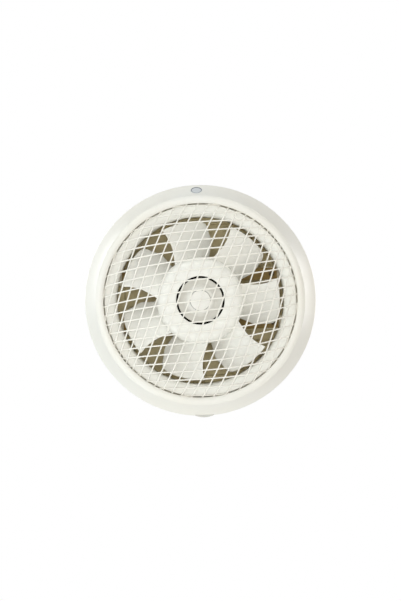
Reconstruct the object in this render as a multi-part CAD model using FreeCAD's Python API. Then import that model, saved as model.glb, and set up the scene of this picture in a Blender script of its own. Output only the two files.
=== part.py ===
import FreeCAD, Part
import math
import os

# Axial wall fan for a round wall hole, in millimetres.
# X runs right, Y runs from the room into the wall, Z runs up.
# The origin lies on the fan axis in the wall plane, and the room is on the -Y side.

V = FreeCAD.Vector
AXIS = V(0, 1, 0)
# Handle length that makes a cubic curve follow a quarter ellipse
QUARTER_SHARE = 0.5523
# How far a cut runs past the faces that it opens
OVERRUN = 1.0

# Impeller
impeller_r = 100.0
hub_r = 54.6
hub_wall = 2.5
hub_edge_r = 14.0
hub_front = -27.2
hub_back = 20.0
cup_r = 30.3
cup_depth = 11.0
cup_edge = 1.2
boss_r = 10.0
boss_length = 6.0
blade_count = 7
blade_phase = -4.1
blade_thick = 2.2
blade_lead = 270.0
blade_mid_y = 4.0
blade_root_sink = 1.4
# Sheet that the blade is cut from: its sections and half width as shares of the radii
slab_hub_shares = (0.7, 1.1)
slab_tip_share = 1.02
slab_half_share = 0.6
# Outline of a blade seen from the room: share of the span, and degrees from its middle line
leading_edge = [(0.12, 22.0), (0.34, 18.4), (0.56, 17.0), (0.78, 17.0), (1.0, 18.0)]
trailing_edge = [(0.2, -22.0), (0.45, -21.8), (0.67, -18.3), (0.85, -16.1), (0.956, -13.5), (1.0, -8.0)]
leading_root = 25.5
trailing_root = -22.5

# Spinner cap on the hub
cap_gap = 2.4
cap_wall = 2.0
cap_rim_height = 8.0
cap_boss_rise = 3.2
cap_dish = 1.6
cap_land = 0.6
# Places of the dish's lowest ring and the boss's shoulder, as shares of the way from the land to the rim
cap_valley_share = 0.42
cap_shoulder_share = 0.18
cap_shoulder_drop = 0.8
button_r = 12.5
button_height = 2.8
button_edge = 1.0
seal_height = 7.0
seal_fit = 0.1

# Bell mouth around the blade tips
tip_gap = 5.0
bell_run = 15.0
bell_wall = 2.0
bell_setback = 0.8
spigot_length = 19.0
spigot_fit = 0.1

# Front bezel
lip_slit = 1.2
rim_width = 9.3
flank_run = 14.5
flank_depth = 21.5
skirt_height = 3.0
rim_crown = 3.0
lip_drop = 1.5
lip_depth = 2.2
bezel_wall = 2.2
bezel_wall_gap = 0.5
hook_count = 4
hook_phase = 22.5
hook_width = 14.0
hook_grip = 1.8
hook_thick = 1.1
hook_gap = 0.25
badge_r = 7.2
badge_thick = 1.1
badge_sunk = 0.5
badge_fit = 0.1

# Diamond net, bulged towards the room
net_pitch = 13.0
net_half_angle = 31.75
net_turn = 36.4
net_crown = 40.0
net_thick = 1.8
bar_width = 1.7
net_flange_width = 2.0
net_flange_thick = 2.0
net_lip_gap = 0.4
net_smallest_hole = 8.0
net_reach_share = 1.5
net_rounds = 25
# How the bars close up towards the rim, along and across the long diagonal of the diamonds
close_uu = 0.0783
close_uw = 0.0437
close_wu = 0.2349
close_ww = 0.0702

# Ring that holds the net in the bezel
retainer_width = 7.0
retainer_thick = 2.0
retainer_screw_count = 6
retainer_screw_r = 1.3
retainer_screw_bite = 1.6
retainer_boss_r = 2.6
retainer_boss_gap = 0.3
screw_head_height = 1.6
screw_head_ratio = 1.8

# Duct sleeve, wall flange and gasket
sleeve_wall = 2.5
sleeve_length = 96.0
flange_thick = 3.0
flange_gap = 2.8
gasket_thick = 2.0
gasket_inset = 4.0
gasket_width = 17.0
wall_hole_count = 4
wall_hole_r = 2.6
wall_hole_edge = 8.0
wall_hole_phase = 45.0

# Motor
shaft_r = 4.0
running_gap = 0.05
seat_gap = 0.02
shell_r = 34.5
shell_wall = 2.2
shell_fit = 0.1
shell_front = -1.5
shell_split = 18.0
shell_back = 41.0
bearing_r = 11.0
bearing_width = 7.0
nose_wall = 2.2
nose_lip_r = 7.5
nose_reach = 4.0
nose_lip = 1.2
core_r = 18.0
core_length = 19.0
core_front = 8.5
air_gap = 0.4
cage_ring_thick = 3.0
cage_ring_width = 9.0
spacer_r = 6.5
spacer_gap = 0.4
winding_room = 3.7
winding_length = 6.0
winding_gap = 1.2
shaft_front = -24.0
shaft_end_gap = 0.8
drive_pin_r = 1.5
drive_pin_length = 18.0
drive_pin_inset = 2.0
nut_flat = 13.0
nut_height = 5.0
washer_r = 9.0
washer_thick = 1.5
bolt_out = 3.5
bolt_angle = 54.6
bolt_r = 2.0
bolt_gap = 0.1
bolt_head_r = 3.3
bolt_head_height = 2.8
bolt_tail = 1.0
nut_ratio = 1.6
ear_r = 5.2
ear_front_length = 6.0

# Straps that carry the motor across the duct
strap_height = 15.0
strap_thick = 3.0
strap_clear = 1.2
lug_length = 16.0
lug_height = 17.0
lug_reach = 17.0
lug_hole_inset = 7.0
lug_screw_depth = 12.0

# Wiring behind the lower part of the bezel
terminal_half = 14.0
terminal_depth = 10.0
terminal_height = 6.0
terminal_from_bell = 2.2
terminal_screw_r = 2.0
terminal_screw_count = 3
terminal_screw_step = 8.5
terminal_screw_depth = 4.0
cover_gap = 0.4
cover_wall = 1.2
cover_headroom = 0.3
capacitor_half = 13.0
capacitor_depth = 9.6
capacitor_height = 9.0
capacitor_turn = 18.0
clip_width = 8.0
clip_thick = 0.8
clip_gap = 0.05
inlet_width = 24.0
inlet_height = 4.4
inlet_reach = 1.9
inlet_nose_r = 30.0
inlet_grip = 8.0
inlet_gap = 0.3
inlet_bend_room = 4.0
flex_width = 5.4
flex_height = 2.7
lead_r = 1.7
lead_gap = 0.2
lead_clear = 2.5
lead_y = -9.2
lead_bend_y = 56.0
lead_bend_r = 14.0
lead_start_r = 3.4
lead_motor_z = -15.0
lead_motor_r = 6.0
channel_wall = 1.5
channel_slot_y = 40.0
channel_slot_length = 22.0
grommet_lip = 1.4
grommet_front = 0.8

# Shutter behind the duct
frame_inset = 6.1
frame_wall = 3.0
frame_depth = 32.0
frame_face = 3.0
collar_length = 12.0
collar_wall = 2.3
collar_fit = 0.1
shutter_screw_count = 4
shutter_screw_phase = 45.0
shutter_screw_r = 1.4
flap_count = 4
flap_thick = 1.6
flap_end_gap = 0.6
flap_edge_gap = 1.0
flap_setback = 5.0
hinge_r = 2.0
hinge_barrel_r = 2.8
hinge_drop = 3.6
hinge_end_gap = 0.5
stop_bar = 3.0
stop_gap = 0.4
ledge_gap = 0.4
ledge_thick = 3.0
ledge_width = 5.0
ledge_lap = 1.0
crank_out = 8.0
crank_drop = 10.0
crank_r = 1.5
crank_ear = 2.0
crank_rim = 2.2
link_thick = 2.0
link_width = 6.0
link_side_gap = 0.4
link_loose = 0.4

# Sizes that follow from the ones above
throat_r = impeller_r + tip_gap
bell_r = throat_r + bell_run
lip_r = bell_r + lip_slit
rim_r = lip_r + rim_width
bezel_r = rim_r + flank_run
sleeve_bore_r = throat_r + bell_wall + spigot_fit
sleeve_r = sleeve_bore_r + sleeve_wall
flange_r = bezel_r - bezel_wall - flange_gap
flange_back = -gasket_thick
flange_front = flange_back - flange_thick
skirt_y = -bezel_wall_gap - skirt_height
crease_y = skirt_y - flank_depth
crown_y = crease_y - rim_crown
lip_y = crown_y + lip_drop
net_seat_y = lip_y + lip_depth
retainer_front = net_seat_y + net_flange_thick
retainer_back = retainer_front + retainer_thick
net_base_r = lip_r + net_lip_gap
net_flange_r = net_base_r + net_flange_width
boss_circle_r = net_flange_r + retainer_boss_gap + retainer_boss_r
bell_y = retainer_back + bell_setback
cup_floor = hub_front + cup_depth
cup_back = cup_floor + hub_wall
boss_back = cup_back + boss_length
cap_r = cup_r - cap_gap
cap_face = cup_floor - cap_rim_height - cap_boss_rise
shell_inner_r = shell_r - shell_wall
nose_front = shell_front - nose_reach
nose_r = bearing_r + seat_gap + nose_wall
front_bearing_y = nose_front + nose_lip
rear_bearing_y = shell_back - nose_lip - bearing_width
core_back = core_front + core_length
stator_bore_r = core_r + air_gap
bolt_circle_r = shell_r + bolt_out
bolt_x = bolt_circle_r * math.cos(math.radians(bolt_angle))
bolt_z = bolt_circle_r * math.sin(math.radians(bolt_angle))
strap_front = shell_back
strap_back = strap_front + strap_thick
strap_half = math.sqrt((sleeve_bore_r - strap_clear) ** 2 - (bolt_z + strap_height / 2) ** 2)
lug_x = strap_half - lug_hole_inset
terminal_z = -(bell_r + terminal_from_bell)
terminal_top = flange_front - terminal_height
lead_z = -(sleeve_r + lead_clear)
frame_y = sleeve_length
frame_back = frame_y + frame_depth
frame_half = sleeve_bore_r - frame_inset
frame_inner = frame_half - frame_wall
flap_y = frame_back - flap_setback
hinge_y = flap_y + flap_thick / 2
flap_pitch = 2 * frame_inner / flap_count
link_x = frame_inner - flap_end_gap - link_thick
flap_right = link_x - link_side_gap
flap_left = -frame_inner + flap_end_gap


# Shape helpers

def polar(r, angle, y=0.0):
    """Point at a radius and an angle counter-clockwise from +X, seen from the room."""
    turn = math.radians(angle)
    return V(r * math.cos(turn), y, r * math.sin(turn))


def chain(points):
    """Straight edges through (radius, y) points of a turned profile."""
    spots = [V(r, y, 0) for r, y in points]
    return [Part.LineSegment(a, b).toShape() for a, b in zip(spots, spots[1:])]


def quarter(start, corner, end):
    """Quarter ellipse between two (radius, y) points, touching the lines to their corner."""
    first, middle, last = V(*start, 0), V(*corner, 0), V(*end, 0)
    curve = Part.BezierCurve()
    handles = [first + (middle - first) * QUARTER_SHARE, last + (middle - last) * QUARTER_SHARE]
    curve.setPoles([first] + handles + [last])
    return curve.toShape()


def turned(edges):
    """Solid turned about the fan axis from a closed profile."""
    face = Part.Face(Part.Wire(edges))
    return face.revolve(V(0, 0, 0), AXIS, 360)


def turned_points(points):
    """Solid turned from a profile of straight lines."""
    return turned(chain(points + points[:1]))


def rod(r, y0, y1, x=0.0, z=0.0):
    """Round bar along the fan axis direction."""
    return Part.makeCylinder(r, y1 - y0, V(x, y0, z), AXIS)


def tube(r_in, r_out, y0, y1, x=0.0, z=0.0):
    """Hollow round bar along the fan axis direction."""
    return rod(r_out, y0, y1, x, z).cut(rod(r_in, y0, y1, x, z))


def cross_rod(r, x0, x1, y, z):
    """Round bar along X."""
    return Part.makeCylinder(r, x1 - x0, V(x0, y, z), V(1, 0, 0))


def block(x0, x1, y0, y1, z0, z1):
    """Box between two corners."""
    return Part.makeBox(x1 - x0, y1 - y0, z1 - z0, V(x0, y0, z0))


def spun(shape, angle):
    """Copy turned about the fan axis, counter-clockwise seen from the room."""
    copy = shape.copy()
    copy.rotate(V(0, 0, 0), AXIS, -angle)
    return copy


def around(shape, count, phase=0.0):
    """Copies of a shape spread evenly about the fan axis."""
    return [spun(shape, phase + 360.0 * k / count) for k in range(count)]


def joined(shapes):
    """One solid from touching shapes."""
    return shapes[0].fuse(shapes[1:]).removeSplitter()


def group(shapes):
    """Separate solids kept together as one node."""
    return Part.makeCompound(shapes)


def hexagon(flat, y0, y1):
    """Hexagonal bar along the fan axis direction, by its size across flats."""
    corner_r = flat / math.sqrt(3)
    corners = [polar(corner_r, 60 * k, y0) for k in range(7)]
    return Part.Face(Part.makePolygon(corners)).extrude(V(0, y1 - y0, 0))


def screw(r, y0, length, x=0.0, z=0.0):
    """Pan-head screw along +Y with its head's underside at y0."""
    head = rod(r * screw_head_ratio, y0 - screw_head_height, y0, x, z)
    return joined([rod(r, y0 - screw_head_height / 2, y0 + length, x, z), head])


def four_places(x, z):
    """The four corners of a rectangle about the fan axis."""
    return [(x, z), (-x, z), (-x, -z), (x, -z)]


# Front bezel, badge, net and its ring

def flank_y(r):
    """Front surface of the bezel's flank at a radius."""
    return skirt_y - flank_depth * (bezel_r - r) / flank_run


def front_bezel():
    """Hollow ring with a sloping flank, a crowned rim, an inner lip, hooks and screw bosses."""
    under = bezel_wall * math.hypot(flank_run, flank_depth) / flank_run
    skirt_inner = bezel_r - bezel_wall
    bend_y = flank_y(skirt_inner) + under
    seat_end = skirt_inner - (bend_y - net_seat_y) * flank_run / flank_depth
    crown = Part.Arc(V(rim_r, crease_y, 0), V((rim_r + lip_r) / 2, crown_y, 0), V(lip_r, lip_y, 0))
    profile = chain([(bezel_r, -bezel_wall_gap), (bezel_r, skirt_y), (rim_r, crease_y)])
    profile.append(crown.toShape())
    profile += chain([(lip_r, lip_y), (lip_r, net_seat_y), (seat_end, net_seat_y), (skirt_inner, bend_y),
                      (skirt_inner, -bezel_wall_gap), (bezel_r, -bezel_wall_gap)])
    boss = rod(retainer_boss_r, net_seat_y - retainer_screw_bite, retainer_front, boss_circle_r)
    pilot = rod(retainer_screw_r, net_seat_y - retainer_screw_bite, retainer_front, boss_circle_r)
    ring = joined([turned(profile)] + around(boss, retainer_screw_count)
                  + around(bezel_hook(), hook_count, hook_phase))
    half = inlet_width / 2 + inlet_gap
    notch_top = -bezel_wall_gap - inlet_height - inlet_gap
    notch = block(-half, half, notch_top, 0, -bezel_r - OVERRUN, -flange_r)
    badge_seat = badge_disc(badge_r + badge_fit)
    return ring.cut(group(around(pilot, retainer_screw_count) + [notch, badge_seat]))


def bezel_hook():
    """Hook on the skirt that snaps behind the edge of the wall flange."""
    barb_y = flange_back + hook_gap
    stem_r = flange_r + hook_gap
    stem = tube(stem_r, bezel_r - bezel_wall / 2, flange_front, barb_y + hook_thick)
    barb = tube(flange_r - hook_grip, stem_r + hook_thick, barb_y, barb_y + hook_thick)
    window = block(0, bezel_r, flange_front, 0, -hook_width / 2, hook_width / 2)
    return joined([stem, barb]).common(window)


def badge_disc(r):
    """Plain round disc lying on the flank at the top, let into it a little."""
    middle_r = (bezel_r + rim_r) / 2
    slope = math.hypot(flank_run, flank_depth)
    outward = V(0, -flank_run / slope, flank_depth / slope)
    seat = V(0, flank_y(middle_r), middle_r) - outward * badge_sunk
    return Part.makeCylinder(r, badge_thick, seat, outward)


def net_crossing(i, j):
    """Frontal place of the crossing of flat bar i and steep bar j of the net."""
    half = math.radians(net_half_angle)
    long_way = net_pitch * (i - j) / 2 / math.sin(half)
    short_way = net_pitch * (i + j) / 2 / math.cos(half)
    u = long_way
    w = short_way
    for _ in range(net_rounds):
        uu = (u / lip_r) ** 2
        ww = (w / lip_r) ** 2
        u = long_way / (1 + close_uu * uu + close_uw * ww)
        w = short_way / (1 + close_wu * uu + close_ww * ww)
    turn = math.radians(net_turn)
    return u * math.cos(turn) - w * math.sin(turn), u * math.sin(turn) + w * math.cos(turn)


def inset_corners(corners, gap):
    """Corners of a cell, given counter-clockwise, after each side has moved inwards."""
    count = len(corners)
    sides = []
    for k in range(count):
        (ax, az), (bx, bz) = corners[k], corners[(k + 1) % count]
        size = math.hypot(bx - ax, bz - az)
        dx, dz = (bx - ax) / size, (bz - az) / size
        sides.append((ax - dz * gap, az + dx * gap, dx, dz))
    moved = []
    for k in range(count):
        px, pz, dx, dz = sides[k - 1]
        qx, qz, ex, ez = sides[k]
        along = ((qx - px) * ez - (qz - pz) * ex) / (dx * ez - dz * ex)
        moved.append((px + dx * along, pz + dz * along))
    return moved


def net_holes(y0, y1):
    """Prisms through the openings of the net, cut off at its rim."""
    disc = Part.Face(Part.Wire(Part.Circle(V(0, y0, 0), AXIS, net_base_r).toShape()))
    reach = int(net_reach_share * net_base_r / net_pitch) + 1
    prisms = []
    for i in range(-reach, reach):
        for j in range(-reach, reach):
            cell = [net_crossing(i, j), net_crossing(i, j + 1), net_crossing(i + 1, j + 1),
                    net_crossing(i + 1, j)]
            if min(math.hypot(x, z) for x, z in cell) > net_base_r:
                continue
            corners = inset_corners(cell[::-1], bar_width / 2)
            spots = [V(x, y0, z) for x, z in corners]
            face = Part.Face(Part.makePolygon(spots + spots[:1]))
            if max(math.hypot(x, z) for x, z in corners) > net_base_r:
                face = face.common(disc)
            if face.Area > net_smallest_hole:
                prisms.append(face.extrude(V(0, y1 - y0, 0)))
    return prisms


def mesh_grille():
    """Bulged diamond net with a flat flange that sits behind the bezel's lip."""
    base_y = net_seat_y + net_lip_gap
    ball_r = (net_base_r ** 2 + net_crown ** 2) / (2 * net_crown)
    centre = V(0, base_y - net_crown + ball_r, 0)
    top_y = base_y - net_crown - OVERRUN
    dome = Part.makeSphere(ball_r, centre).cut(Part.makeSphere(ball_r - net_thick, centre))
    shell = dome.common(rod(net_base_r + net_flange_width / 2, top_y, retainer_front))
    shell = shell.cut(group(net_holes(top_y, retainer_front)))
    return joined([tube(net_base_r, net_flange_r, net_seat_y, retainer_front), shell])


def grille_retainer():
    """Flat ring that clamps the flange of the net."""
    ring = tube(net_base_r, net_base_r + retainer_width, retainer_front, retainer_back)
    hole = rod(retainer_screw_r + bolt_gap, retainer_front, retainer_back, boss_circle_r)
    return ring.cut(group(around(hole, retainer_screw_count)))


def retainer_screws():
    """Screws through the ring into the bosses of the bezel, heads towards the wall."""
    shank = rod(retainer_screw_r - seat_gap, net_seat_y - retainer_screw_bite, retainer_back, boss_circle_r)
    head_r = retainer_screw_r * screw_head_ratio
    head = rod(head_r, retainer_back, retainer_back + screw_head_height, boss_circle_r)
    return group(around(joined([shank, head]), retainer_screw_count))


# Bell mouth, duct sleeve and gasket

def bell_mouth():
    """Rounded inlet ring with a spigot in the sleeve and a skirt standing on the wall flange."""
    spigot_end = flange_front + spigot_length
    wall_r = throat_r + bell_wall
    skirt_inner = bell_r - bell_wall
    under_y = bell_y + bell_wall
    profile = chain([(throat_r, spigot_end), (throat_r, flange_front)])
    profile.append(quarter((throat_r, flange_front), (throat_r, bell_y), (bell_r, bell_y)))
    profile += chain([(bell_r, bell_y), (bell_r, flange_front), (skirt_inner, flange_front),
                      (skirt_inner, under_y)])
    profile.append(quarter((skirt_inner, under_y), (wall_r, under_y), (wall_r, flange_front)))
    profile += chain([(wall_r, flange_front), (wall_r, spigot_end), (throat_r, spigot_end)])
    half = lead_r + lead_gap
    lead_slot = block(-half, half, lead_y - half, flange_front, -bell_r - OVERRUN,
                      -skirt_inner + OVERRUN)
    return turned(profile).cut(lead_slot)


def inlet_notch(gap, inner_r):
    """Space that the cord inlet takes out of the flange and the gasket."""
    half = inlet_width / 2 + gap
    return block(-half, half, flange_front - OVERRUN, OVERRUN, -flange_r - OVERRUN, -inner_r)


def duct_sleeve():
    """Tube through the wall with the wall flange, motor lugs and a channel for the motor lead."""
    body = joined([rod(sleeve_r, flange_front, sleeve_length), rod(flange_r, flange_front, flange_back)])
    channel_r = lead_r + lead_gap + channel_wall
    channel_end = channel_slot_y + channel_slot_length + channel_wall
    channel = rod(channel_r, flange_back, channel_end, 0, lead_z)
    web = block(-channel_r, channel_r, flange_back, channel_end, lead_z, -sleeve_bore_r)
    body = joined([body, channel, web]).cut(rod(sleeve_bore_r, flange_front, sleeve_length))
    lug = block(lug_x - lug_reach / 2, sleeve_r, strap_back, strap_back + lug_length,
                bolt_z - lug_height / 2, bolt_z + lug_height / 2)
    lug = lug.common(rod(sleeve_bore_r + sleeve_wall / 2, strap_back, strap_back + lug_length))
    lug = lug.cut(rod(bolt_r, strap_back, strap_back + lug_screw_depth, lug_x, bolt_z))
    left = lug.mirror(V(0, 0, 0), V(1, 0, 0))
    lower = [shape.mirror(V(0, 0, 0), V(0, 0, 1)) for shape in (lug, left)]
    body = joined([body, lug, left] + lower)
    bore = rod(lead_r + lead_gap, flange_front, channel_slot_y + channel_slot_length, 0, lead_z)
    slot = block(-lead_r - lead_gap, lead_r + lead_gap, channel_slot_y,
                 channel_slot_y + channel_slot_length, lead_z, -sleeve_bore_r + channel_wall)
    wall_hole = rod(wall_hole_r, flange_front, flange_back, flange_r - wall_hole_edge)
    screw_hole = cross_rod(shutter_screw_r, sleeve_bore_r - OVERRUN, sleeve_r + OVERRUN,
                           shutter_screw_y(), 0)
    cuts = around(wall_hole, wall_hole_count, wall_hole_phase)
    cuts += around(screw_hole, shutter_screw_count, shutter_screw_phase)
    cuts += [bore, slot, grommet_hole(), inlet_notch(inlet_gap, inlet_inner_r() - inlet_bend_room)]
    return body.cut(group(cuts))


def grommet_hole():
    """Hole for the grommet in the wall flange."""
    return rod(lead_r + lead_gap + grommet_lip, flange_front, flange_back, 0, lead_z)


def lead_grommet():
    """Rubber ring where the motor lead passes through the wall flange."""
    body_r = lead_r + lead_gap + grommet_lip - seat_gap
    body = rod(body_r, flange_front, flange_back, 0, lead_z)
    lip = rod(body_r + grommet_lip, flange_front - grommet_front, flange_front, 0, lead_z)
    bore = rod(lead_r + seat_gap, flange_front - grommet_front, flange_back, 0, lead_z)
    return joined([body, lip]).cut(bore)


def wall_gasket():
    """Foam ring between the flange and the wall."""
    outer = flange_r - gasket_inset
    ring = tube(outer - gasket_width, outer, flange_back, 0)
    hole = rod(wall_hole_r, flange_back, 0, flange_r - wall_hole_edge)
    cuts = around(hole, wall_hole_count, wall_hole_phase)
    return ring.cut(group(cuts + [inlet_notch(inlet_gap, inlet_inner_r() - inlet_bend_room)]))


# Wiring

def inlet_inner_r():
    """Radius of the inner end of the cord inlet."""
    return flange_r - inlet_grip


def cord_inlet():
    """Flat block with a round nose in the lower edge of the flange, with an oval hole for the supply cord."""
    top = -bezel_wall_gap - inlet_height
    outer_z = -bezel_r - inlet_reach
    body = block(-inlet_width / 2, inlet_width / 2, top, -bezel_wall_gap, outer_z, -inlet_inner_r())
    body = body.common(rod(inlet_nose_r, top, -bezel_wall_gap, 0, outer_z + inlet_nose_r))
    middle = -bezel_wall_gap - inlet_height / 2
    flat = flex_width / 2 - flex_height / 2
    hole = block(-flat, flat, middle - flex_height / 2, middle + flex_height / 2,
                 outer_z - OVERRUN, 0)
    sides = [Part.makeCylinder(flex_height / 2, OVERRUN - outer_z, V(x, middle, outer_z - OVERRUN),
                               V(0, 0, 1)) for x in (-flat, flat)]
    return body.cut(joined([hole] + sides))


def terminal_spots():
    """Places of the terminal screws along X."""
    middle = (terminal_screw_count - 1) / 2
    return [(k - middle) * terminal_screw_step for k in range(terminal_screw_count)]


def terminal_block():
    """Insulating block standing on the flange, with a screw hole for each wire."""
    body = block(-terminal_half, terminal_half, terminal_top, flange_front,
                 terminal_z - terminal_depth, terminal_z)
    middle = terminal_z - terminal_depth / 2
    holes = [rod(terminal_screw_r, terminal_top, terminal_top + terminal_screw_depth, x, middle)
             for x in terminal_spots()]
    return body.cut(group(holes))


def terminal_screws():
    """Brass clamping screws of the terminal block."""
    middle = terminal_z - terminal_depth / 2
    length = terminal_screw_depth - seat_gap
    screws = [screw(terminal_screw_r - seat_gap, terminal_top, length, x, middle) for x in terminal_spots()]
    return group(screws)


def terminal_cover():
    """Thin cap over the terminal block, open towards the motor lead."""
    half = terminal_half + cover_gap
    z0 = terminal_z - terminal_depth - cover_gap
    z1 = terminal_z + cover_gap
    roof = terminal_top - screw_head_height - cover_headroom
    outer = block(-half - cover_wall, half + cover_wall, roof - cover_wall, flange_front,
                  z0 - cover_wall, z1 + cover_wall)
    inner = block(-half, half, roof, flange_front, z0, z1)
    slot_half = lead_r + lead_gap
    slot = block(-slot_half, slot_half, lead_y - slot_half, flange_front, z1, z1 + cover_wall)
    return outer.cut(inner).cut(slot)


def run_capacitor():
    """Box-shaped capacitor lying on the flange beside the terminal block."""
    body = block(-capacitor_half, capacitor_half, flange_front - capacitor_height, flange_front,
                 terminal_z - capacitor_depth, terminal_z)
    return spun(body, capacitor_turn)


def capacitor_clip():
    """Bent strip that holds the capacitor down on the flange."""
    z0 = terminal_z - capacitor_depth - clip_gap
    z1 = terminal_z + clip_gap
    top = flange_front - capacitor_height - clip_gap
    half = clip_width / 2
    outer = block(-half, half, top - clip_thick, flange_front, z0 - clip_thick, z1 + clip_thick)
    return spun(outer.cut(block(-half, half, top, flange_front, z0, z1)), capacitor_turn)


def motor_lead():
    """Round lead from the terminal block through the channel to the back of the motor."""
    points = [V(0, lead_y, terminal_z), V(0, lead_y, lead_z), V(0, lead_bend_y, lead_z),
              V(0, lead_bend_y, lead_motor_z), V(0, shell_back, lead_motor_z)]
    radii = [lead_start_r, lead_bend_r, lead_motor_r]
    edges = []
    start = points[0]
    for before, corner, after, radius in zip(points, points[1:], points[2:], radii):
        back = (before - corner).normalize()
        ahead = (after - corner).normalize()
        middle = corner + (back + ahead) * radius * (1 - math.sqrt(0.5))
        edges.append(Part.LineSegment(start, corner + back * radius).toShape())
        edges.append(Part.Arc(corner + back * radius, middle, corner + ahead * radius).toShape())
        start = corner + ahead * radius
    edges.append(Part.LineSegment(start, points[-1]).toShape())
    path = Part.Wire(edges)
    section = Part.Wire(Part.Circle(points[0], V(0, 0, 1), lead_r).toShape())
    return path.makePipeShell([section], True, False)


# Motor and its straps

def motor_strap(side):
    """Flat bar across the duct, above or below the shaft."""
    z = side * bolt_z
    bar = block(-strap_half, strap_half, strap_front, strap_back, z - strap_height / 2, z + strap_height / 2)
    holes = [rod(bolt_r + bolt_gap, strap_front, strap_back, x, z)
             for x in (-lug_x, -bolt_x, bolt_x, lug_x)]
    return bar.cut(group(holes))


def strap_screws():
    """Screws through the ends of the straps into the lugs of the sleeve."""
    length = strap_thick + lug_screw_depth - seat_gap
    return group([screw(bolt_r - seat_gap, strap_front, length, x, z)
                  for x, z in four_places(lug_x, bolt_z)])


def with_ears(shell, y0, y1):
    """Motor shell with four ears for the through bolts."""
    ears = []
    for x, z in four_places(bolt_x, bolt_z):
        reach = shell_inner_r + shell_wall / 2
        share = reach / bolt_circle_r
        ear = rod(ear_r, y0, y1, x, z).fuse(rod(ear_r, y0, y1, x * share, z * share))
        ears.append(ear.cut(rod(shell_inner_r + shell_wall / 2, y0, y1)))
    holes = [rod(bolt_r + bolt_gap, y0, y1, x, z) for x, z in four_places(bolt_x, bolt_z)]
    return joined([shell] + ears).cut(group(holes))


def motor_front_shell():
    """Front cup of the motor with the seat of the front bearing."""
    seat_r = bearing_r + seat_gap
    seat_back = front_bearing_y + bearing_width
    face_back = shell_front + shell_wall
    shell = turned_points([
        (nose_lip_r, nose_front), (nose_r, nose_front), (nose_r, shell_front), (shell_r, shell_front),
        (shell_r, shell_split), (shell_inner_r, shell_split), (shell_inner_r, face_back),
        (nose_r, face_back), (nose_r, seat_back), (seat_r, seat_back), (seat_r, front_bearing_y),
        (nose_lip_r, front_bearing_y)])
    return with_ears(shell, shell_split - ear_front_length, shell_split)


def motor_rear_shell():
    """Rear cup of the motor with the seat of the rear bearing."""
    seat_r = bearing_r + seat_gap
    face_front = shell_back - shell_wall
    seat_back = rear_bearing_y + bearing_width
    shell = turned_points([
        (shell_r, shell_split), (shell_r, shell_back), (nose_lip_r, shell_back), (nose_lip_r, seat_back),
        (seat_r, seat_back), (seat_r, rear_bearing_y), (nose_r, rear_bearing_y), (nose_r, face_front),
        (shell_inner_r, face_front), (shell_inner_r, shell_split)])
    return with_ears(shell, shell_split, shell_back)


def bearing(y0):
    """Ball bearing as one ring, with the bore that the shaft runs in."""
    return tube(shaft_r + running_gap, bearing_r, y0, y0 + bearing_width)


def stator_core():
    """Stack of laminations in the motor shells."""
    return tube(stator_bore_r, shell_inner_r - shell_fit, core_front, core_back)


def stator_windings():
    """End turns on both sides of the stator."""
    inner = stator_bore_r + winding_gap
    outer = shell_inner_r - winding_room
    front = tube(inner, outer, core_front - winding_length, core_front)
    back = tube(inner, outer, core_back, core_back + winding_length)
    return group([front, back])


def motor_bolts():
    """Through bolts that clamp the shells together and to the straps."""
    head_y = shell_split - ear_front_length
    end_y = strap_back + nut_thick() + bolt_tail
    bolts = []
    for x, z in four_places(bolt_x, bolt_z):
        head = rod(bolt_head_r, head_y - bolt_head_height, head_y, x, z)
        bolts.append(joined([head, rod(bolt_r, head_y - bolt_head_height / 2, end_y, x, z)]))
    return group(bolts)


def nut_thick():
    """Thickness of the nuts on the through bolts."""
    return bolt_r * nut_ratio


def motor_nuts():
    """Hexagonal nuts behind the straps."""
    nuts = []
    for x, z in four_places(bolt_x, bolt_z):
        nut = hexagon(2 * bolt_head_r, strap_back, strap_back + nut_thick())
        nut = nut.cut(rod(bolt_r + seat_gap, strap_back, strap_back + nut_thick()))
        nut.translate(V(x, 0, z))
        nuts.append(nut)
    return group(nuts)


# Rotor

def shaft():
    """Motor shaft with a cross hole for the drive pin."""
    bar = rod(shaft_r, shaft_front, rear_bearing_y + bearing_width - shaft_end_gap)
    return bar.cut(cross_rod(drive_pin_r + seat_gap, -shaft_r, shaft_r, drive_pin_y(), 0))


def drive_pin_y():
    """Place of the drive pin along the shaft."""
    return boss_back - drive_pin_inset


def drive_pin():
    """Pin across the shaft that turns the hub."""
    return cross_rod(drive_pin_r, -drive_pin_length / 2, drive_pin_length / 2, drive_pin_y(), 0)


def rotor_core():
    """Rotor laminations on the shaft."""
    return tube(shaft_r + seat_gap, core_r, core_front, core_back)


def rotor_cage():
    """Cast end rings of the rotor."""
    inner = core_r - cage_ring_width
    front = tube(inner, core_r - seat_gap, core_front - cage_ring_thick, core_front)
    back = tube(inner, core_r - seat_gap, core_back, core_back + cage_ring_thick)
    return group([front, back])


def shaft_spacers():
    """Sleeves that keep the rotor centred between the bearings."""
    front = tube(shaft_r + seat_gap, spacer_r, front_bearing_y + bearing_width + spacer_gap, core_front)
    back = tube(shaft_r + seat_gap, spacer_r, core_back, rear_bearing_y - spacer_gap)
    return group([front, back])


def blade_spot(share, angle):
    """Frontal point of the blade outline."""
    return polar(hub_r + share * (impeller_r - hub_r), angle)


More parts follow.
